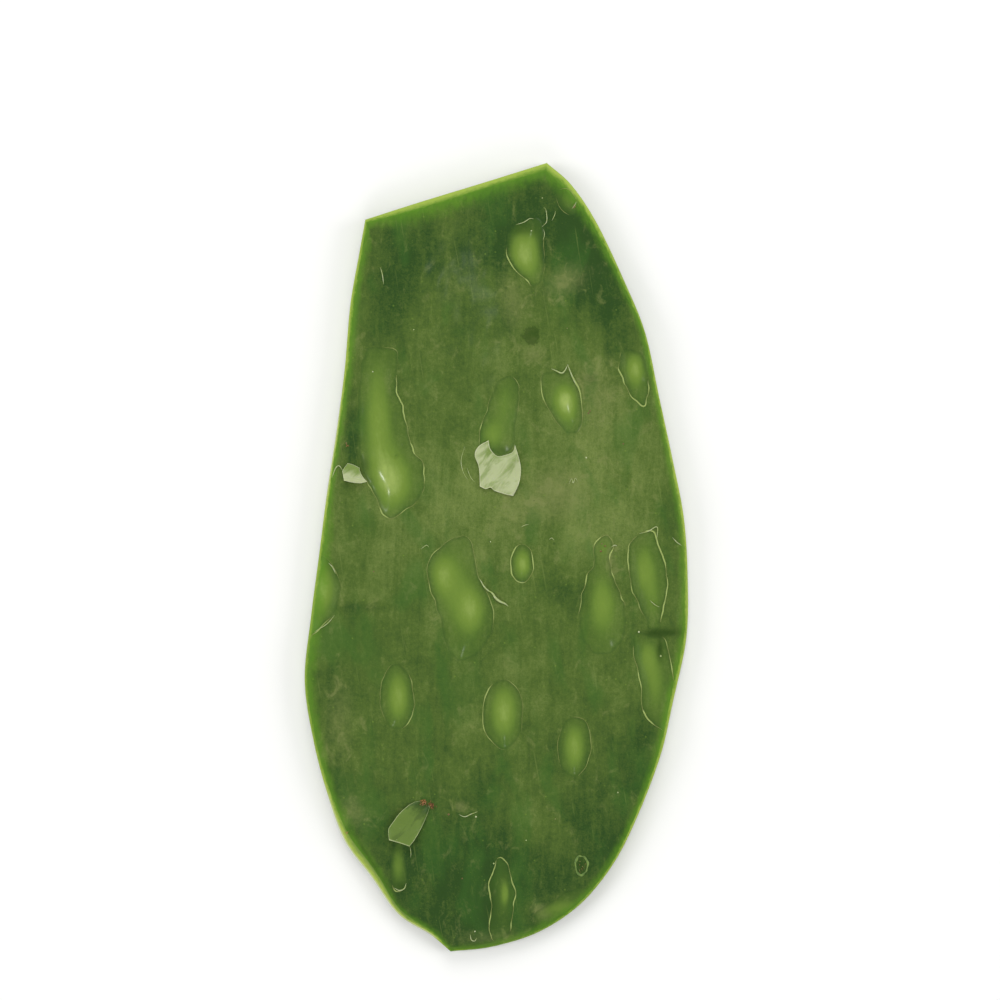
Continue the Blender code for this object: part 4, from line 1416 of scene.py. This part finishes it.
def bristle(foot, lean, length, width, form):
    """One bristle: a round tube of five stations that leans out from its foot, rises and droops with a
    sine, and narrows evenly to a fifth of its width."""
    share = np.linspace(0, 1, 5)
    plan = foot + np.outer(share * length * 0.8, (math.cos(lean), math.sin(lean)))
    level = form.top(*plan[:1].T) + length * 0.45 * np.sin(share * BRISTLE_BEND)
    half = width / 2 * (1 - 0.8 * share)
    return carry_oval(np.column_stack((plan, level)), half, half, BRISTLE_SIDES)


class NOPAL_OT_bristles(bpy.types.Operator):
    """Plants the few barbed bristles that are left and strews the loose grains"""

    bl_idname = "nopal.bristles"
    bl_label = "Bristles and Grains"

    def execute(self, context):
        form = PadForm(context.scene.nopal_shape)
        colours = context.scene.nopal_colours
        sizes = context.scene.nopal_cuts
        random = np.random.default_rng(5)
        shapes = []
        for x, y, spread, count, share_long in TUFTS:
            for _ in range(count):
                foot = np.array((x, y)) * MM + random.normal(0, spread * 0.5 * MM, 2)
                lean = random.uniform(0, math.tau)
                length = sizes.bristle_length * share_long * random.uniform(0.6, 1.2)
                shapes.append(bristle(foot, lean, length, sizes.bristle_width, form))
        material = plain_material("bristle", colours.bristle, colours.bristle_dark, 0.5)
        add_piece("bristles", *join_shapes(shapes), material, "pad_skin")
        for name, kind, dark, light in (
            ("pale_grains", 1, colours.lip, colours.sliver_edge),
            ("brown_grains", 0, colours.bristle_dark, colours.lip_dull),
        ):
            shapes = []
            for x, y, half_width in (np.array(row[:3]) * MM for row in GRAINS if row[3] == kind):
                height = form.top(np.array((x,)), np.array((y,)))[0] + half_width * 0.2
                shapes.append(round_grain(x, y, height, half_width))
            add_piece(name, *join_shapes(shapes), plain_material(name, dark, light, 0.4), "cut_flesh")
        return {"FINISHED"}


def look_at(thing, target):
    """Turns a lamp or camera's -Z axis to the target."""
    thing.rotation_euler = (Vector(target) - thing.location).to_track_quat("-Z", "Y").to_euler()


def add_lamp(name, location, size, power):
    """A round lamp that faces the pad's middle."""
    lamp = bpy.data.lights.new(name, "AREA")
    lamp.shape = "DISK"
    lamp.size = size
    lamp.energy = power
    holder = bpy.data.objects.new(name, lamp)
    holder.location = location
    bpy.context.scene.collection.objects.link(holder)
    look_at(holder, (0, 0, 0))


class NOPAL_OT_studio(bpy.types.Operator):
    """Sets up the pale floor, the soft lamps and the camera that looks straight down"""

    bl_idname = "nopal.studio"
    bl_label = "Studio"

    def execute(self, context):
        scene = context.scene
        sizes = scene.nopal_studio
        half = sizes.floor_size / 2
        corners = [(across * half, along * half, -sizes.floor_gap)
                   for across, along in ((-1, -1), (1, -1), (1, 1), (-1, 1))]
        mesh = bpy.data.meshes.new("floor")
        mesh.from_pydata(corners, [], [(0, 1, 2, 3)])
        material, tree = new_material("studio_floor")
        finish_material(tree, {}, {"Base Color": rgba(scene.nopal_colours.floor), "Roughness": 0.9})
        mesh.materials.append(material)
        floor = bpy.data.objects.new("floor", mesh)
        scene.collection.objects.link(floor)

        away = sizes.lamp_distance
        for number, (turn, rise, share) in enumerate(SOFT_LAMPS):
            turn, rise = math.radians(turn), math.radians(rise)
            spot = (away * math.cos(turn) * math.cos(rise), away * math.sin(turn) * math.cos(rise),
                    away * math.sin(rise))
            add_lamp(f"soft_lamp_{number}", spot, sizes.lamp_size, sizes.lamp_power * share)
        add_lamp("glint_lamp", GLINT_PLACE, GLINT_SIZE, GLINT_POWER)

        world = bpy.data.worlds.new("studio_air")
        world.use_nodes = True
        background = world.node_tree.nodes["Background"]
        background.inputs["Color"].default_value = (1, 1, 1, 1)
        background.inputs["Strength"].default_value = sizes.ambient
        scene.world = world
        scene.view_settings.view_transform = "Standard"

        camera = bpy.data.cameras.new("camera")
        camera.lens = sizes.lens
        camera.sensor_width = SENSOR_WIDTH
        camera.clip_start, camera.clip_end = 0.01, 20
        holder = bpy.data.objects.new("camera", camera)
        distance = sizes.view_width * camera.lens / SENSOR_WIDTH
        height = distance + scene.nopal_shape.crown_at_stalk / 2
        holder.location = (sizes.aim_across, sizes.aim_along, height)
        scene.collection.objects.link(holder)
        scene.camera = holder
        return {"FINISHED"}


OPERATORS = (
    NOPAL_OT_pad_body,
    NOPAL_OT_cut_lips,
    NOPAL_OT_slivers,
    NOPAL_OT_fibres,
    NOPAL_OT_areole,
    NOPAL_OT_bristles,
    NOPAL_OT_studio,
)


class NOPAL_PT_panel(bpy.types.Panel):
    """Lists the steps that build the pad"""

    bl_label = "Prickly Pear Pad"
    bl_idname = "NOPAL_PT_panel"
    bl_space_type = "VIEW_3D"
    bl_region_type = "UI"
    bl_category = "Prickly Pear"

    def draw(self, context):
        for operator in OPERATORS:
            self.layout.operator(operator.bl_idname)


SETTINGS = {
    "nopal_shape": PadShape,
    "nopal_cuts": CutSizes,
    "nopal_colours": PadColours,
    "nopal_studio": StudioSizes,
}


def register():
    for group in SETTINGS.values():
        bpy.utils.register_class(group)
    for name, group in SETTINGS.items():
        setattr(bpy.types.Scene, name, PointerProperty(type=group))
    for thing in (*OPERATORS, NOPAL_PT_panel):
        bpy.utils.register_class(thing)


def unregister():
    for thing in (NOPAL_PT_panel, *reversed(OPERATORS)):
        bpy.utils.unregister_class(thing)
    for name, group in SETTINGS.items():
        delattr(bpy.types.Scene, name)
        bpy.utils.unregister_class(group)


def main():
    register()
    bpy.ops.nopal.pad_body()
    bpy.ops.nopal.cut_lips()
    bpy.ops.nopal.slivers()
    bpy.ops.nopal.fibres()
    bpy.ops.nopal.areole()
    bpy.ops.nopal.bristles()
    bpy.ops.nopal.studio()


if __name__ == "__main__":
    main()
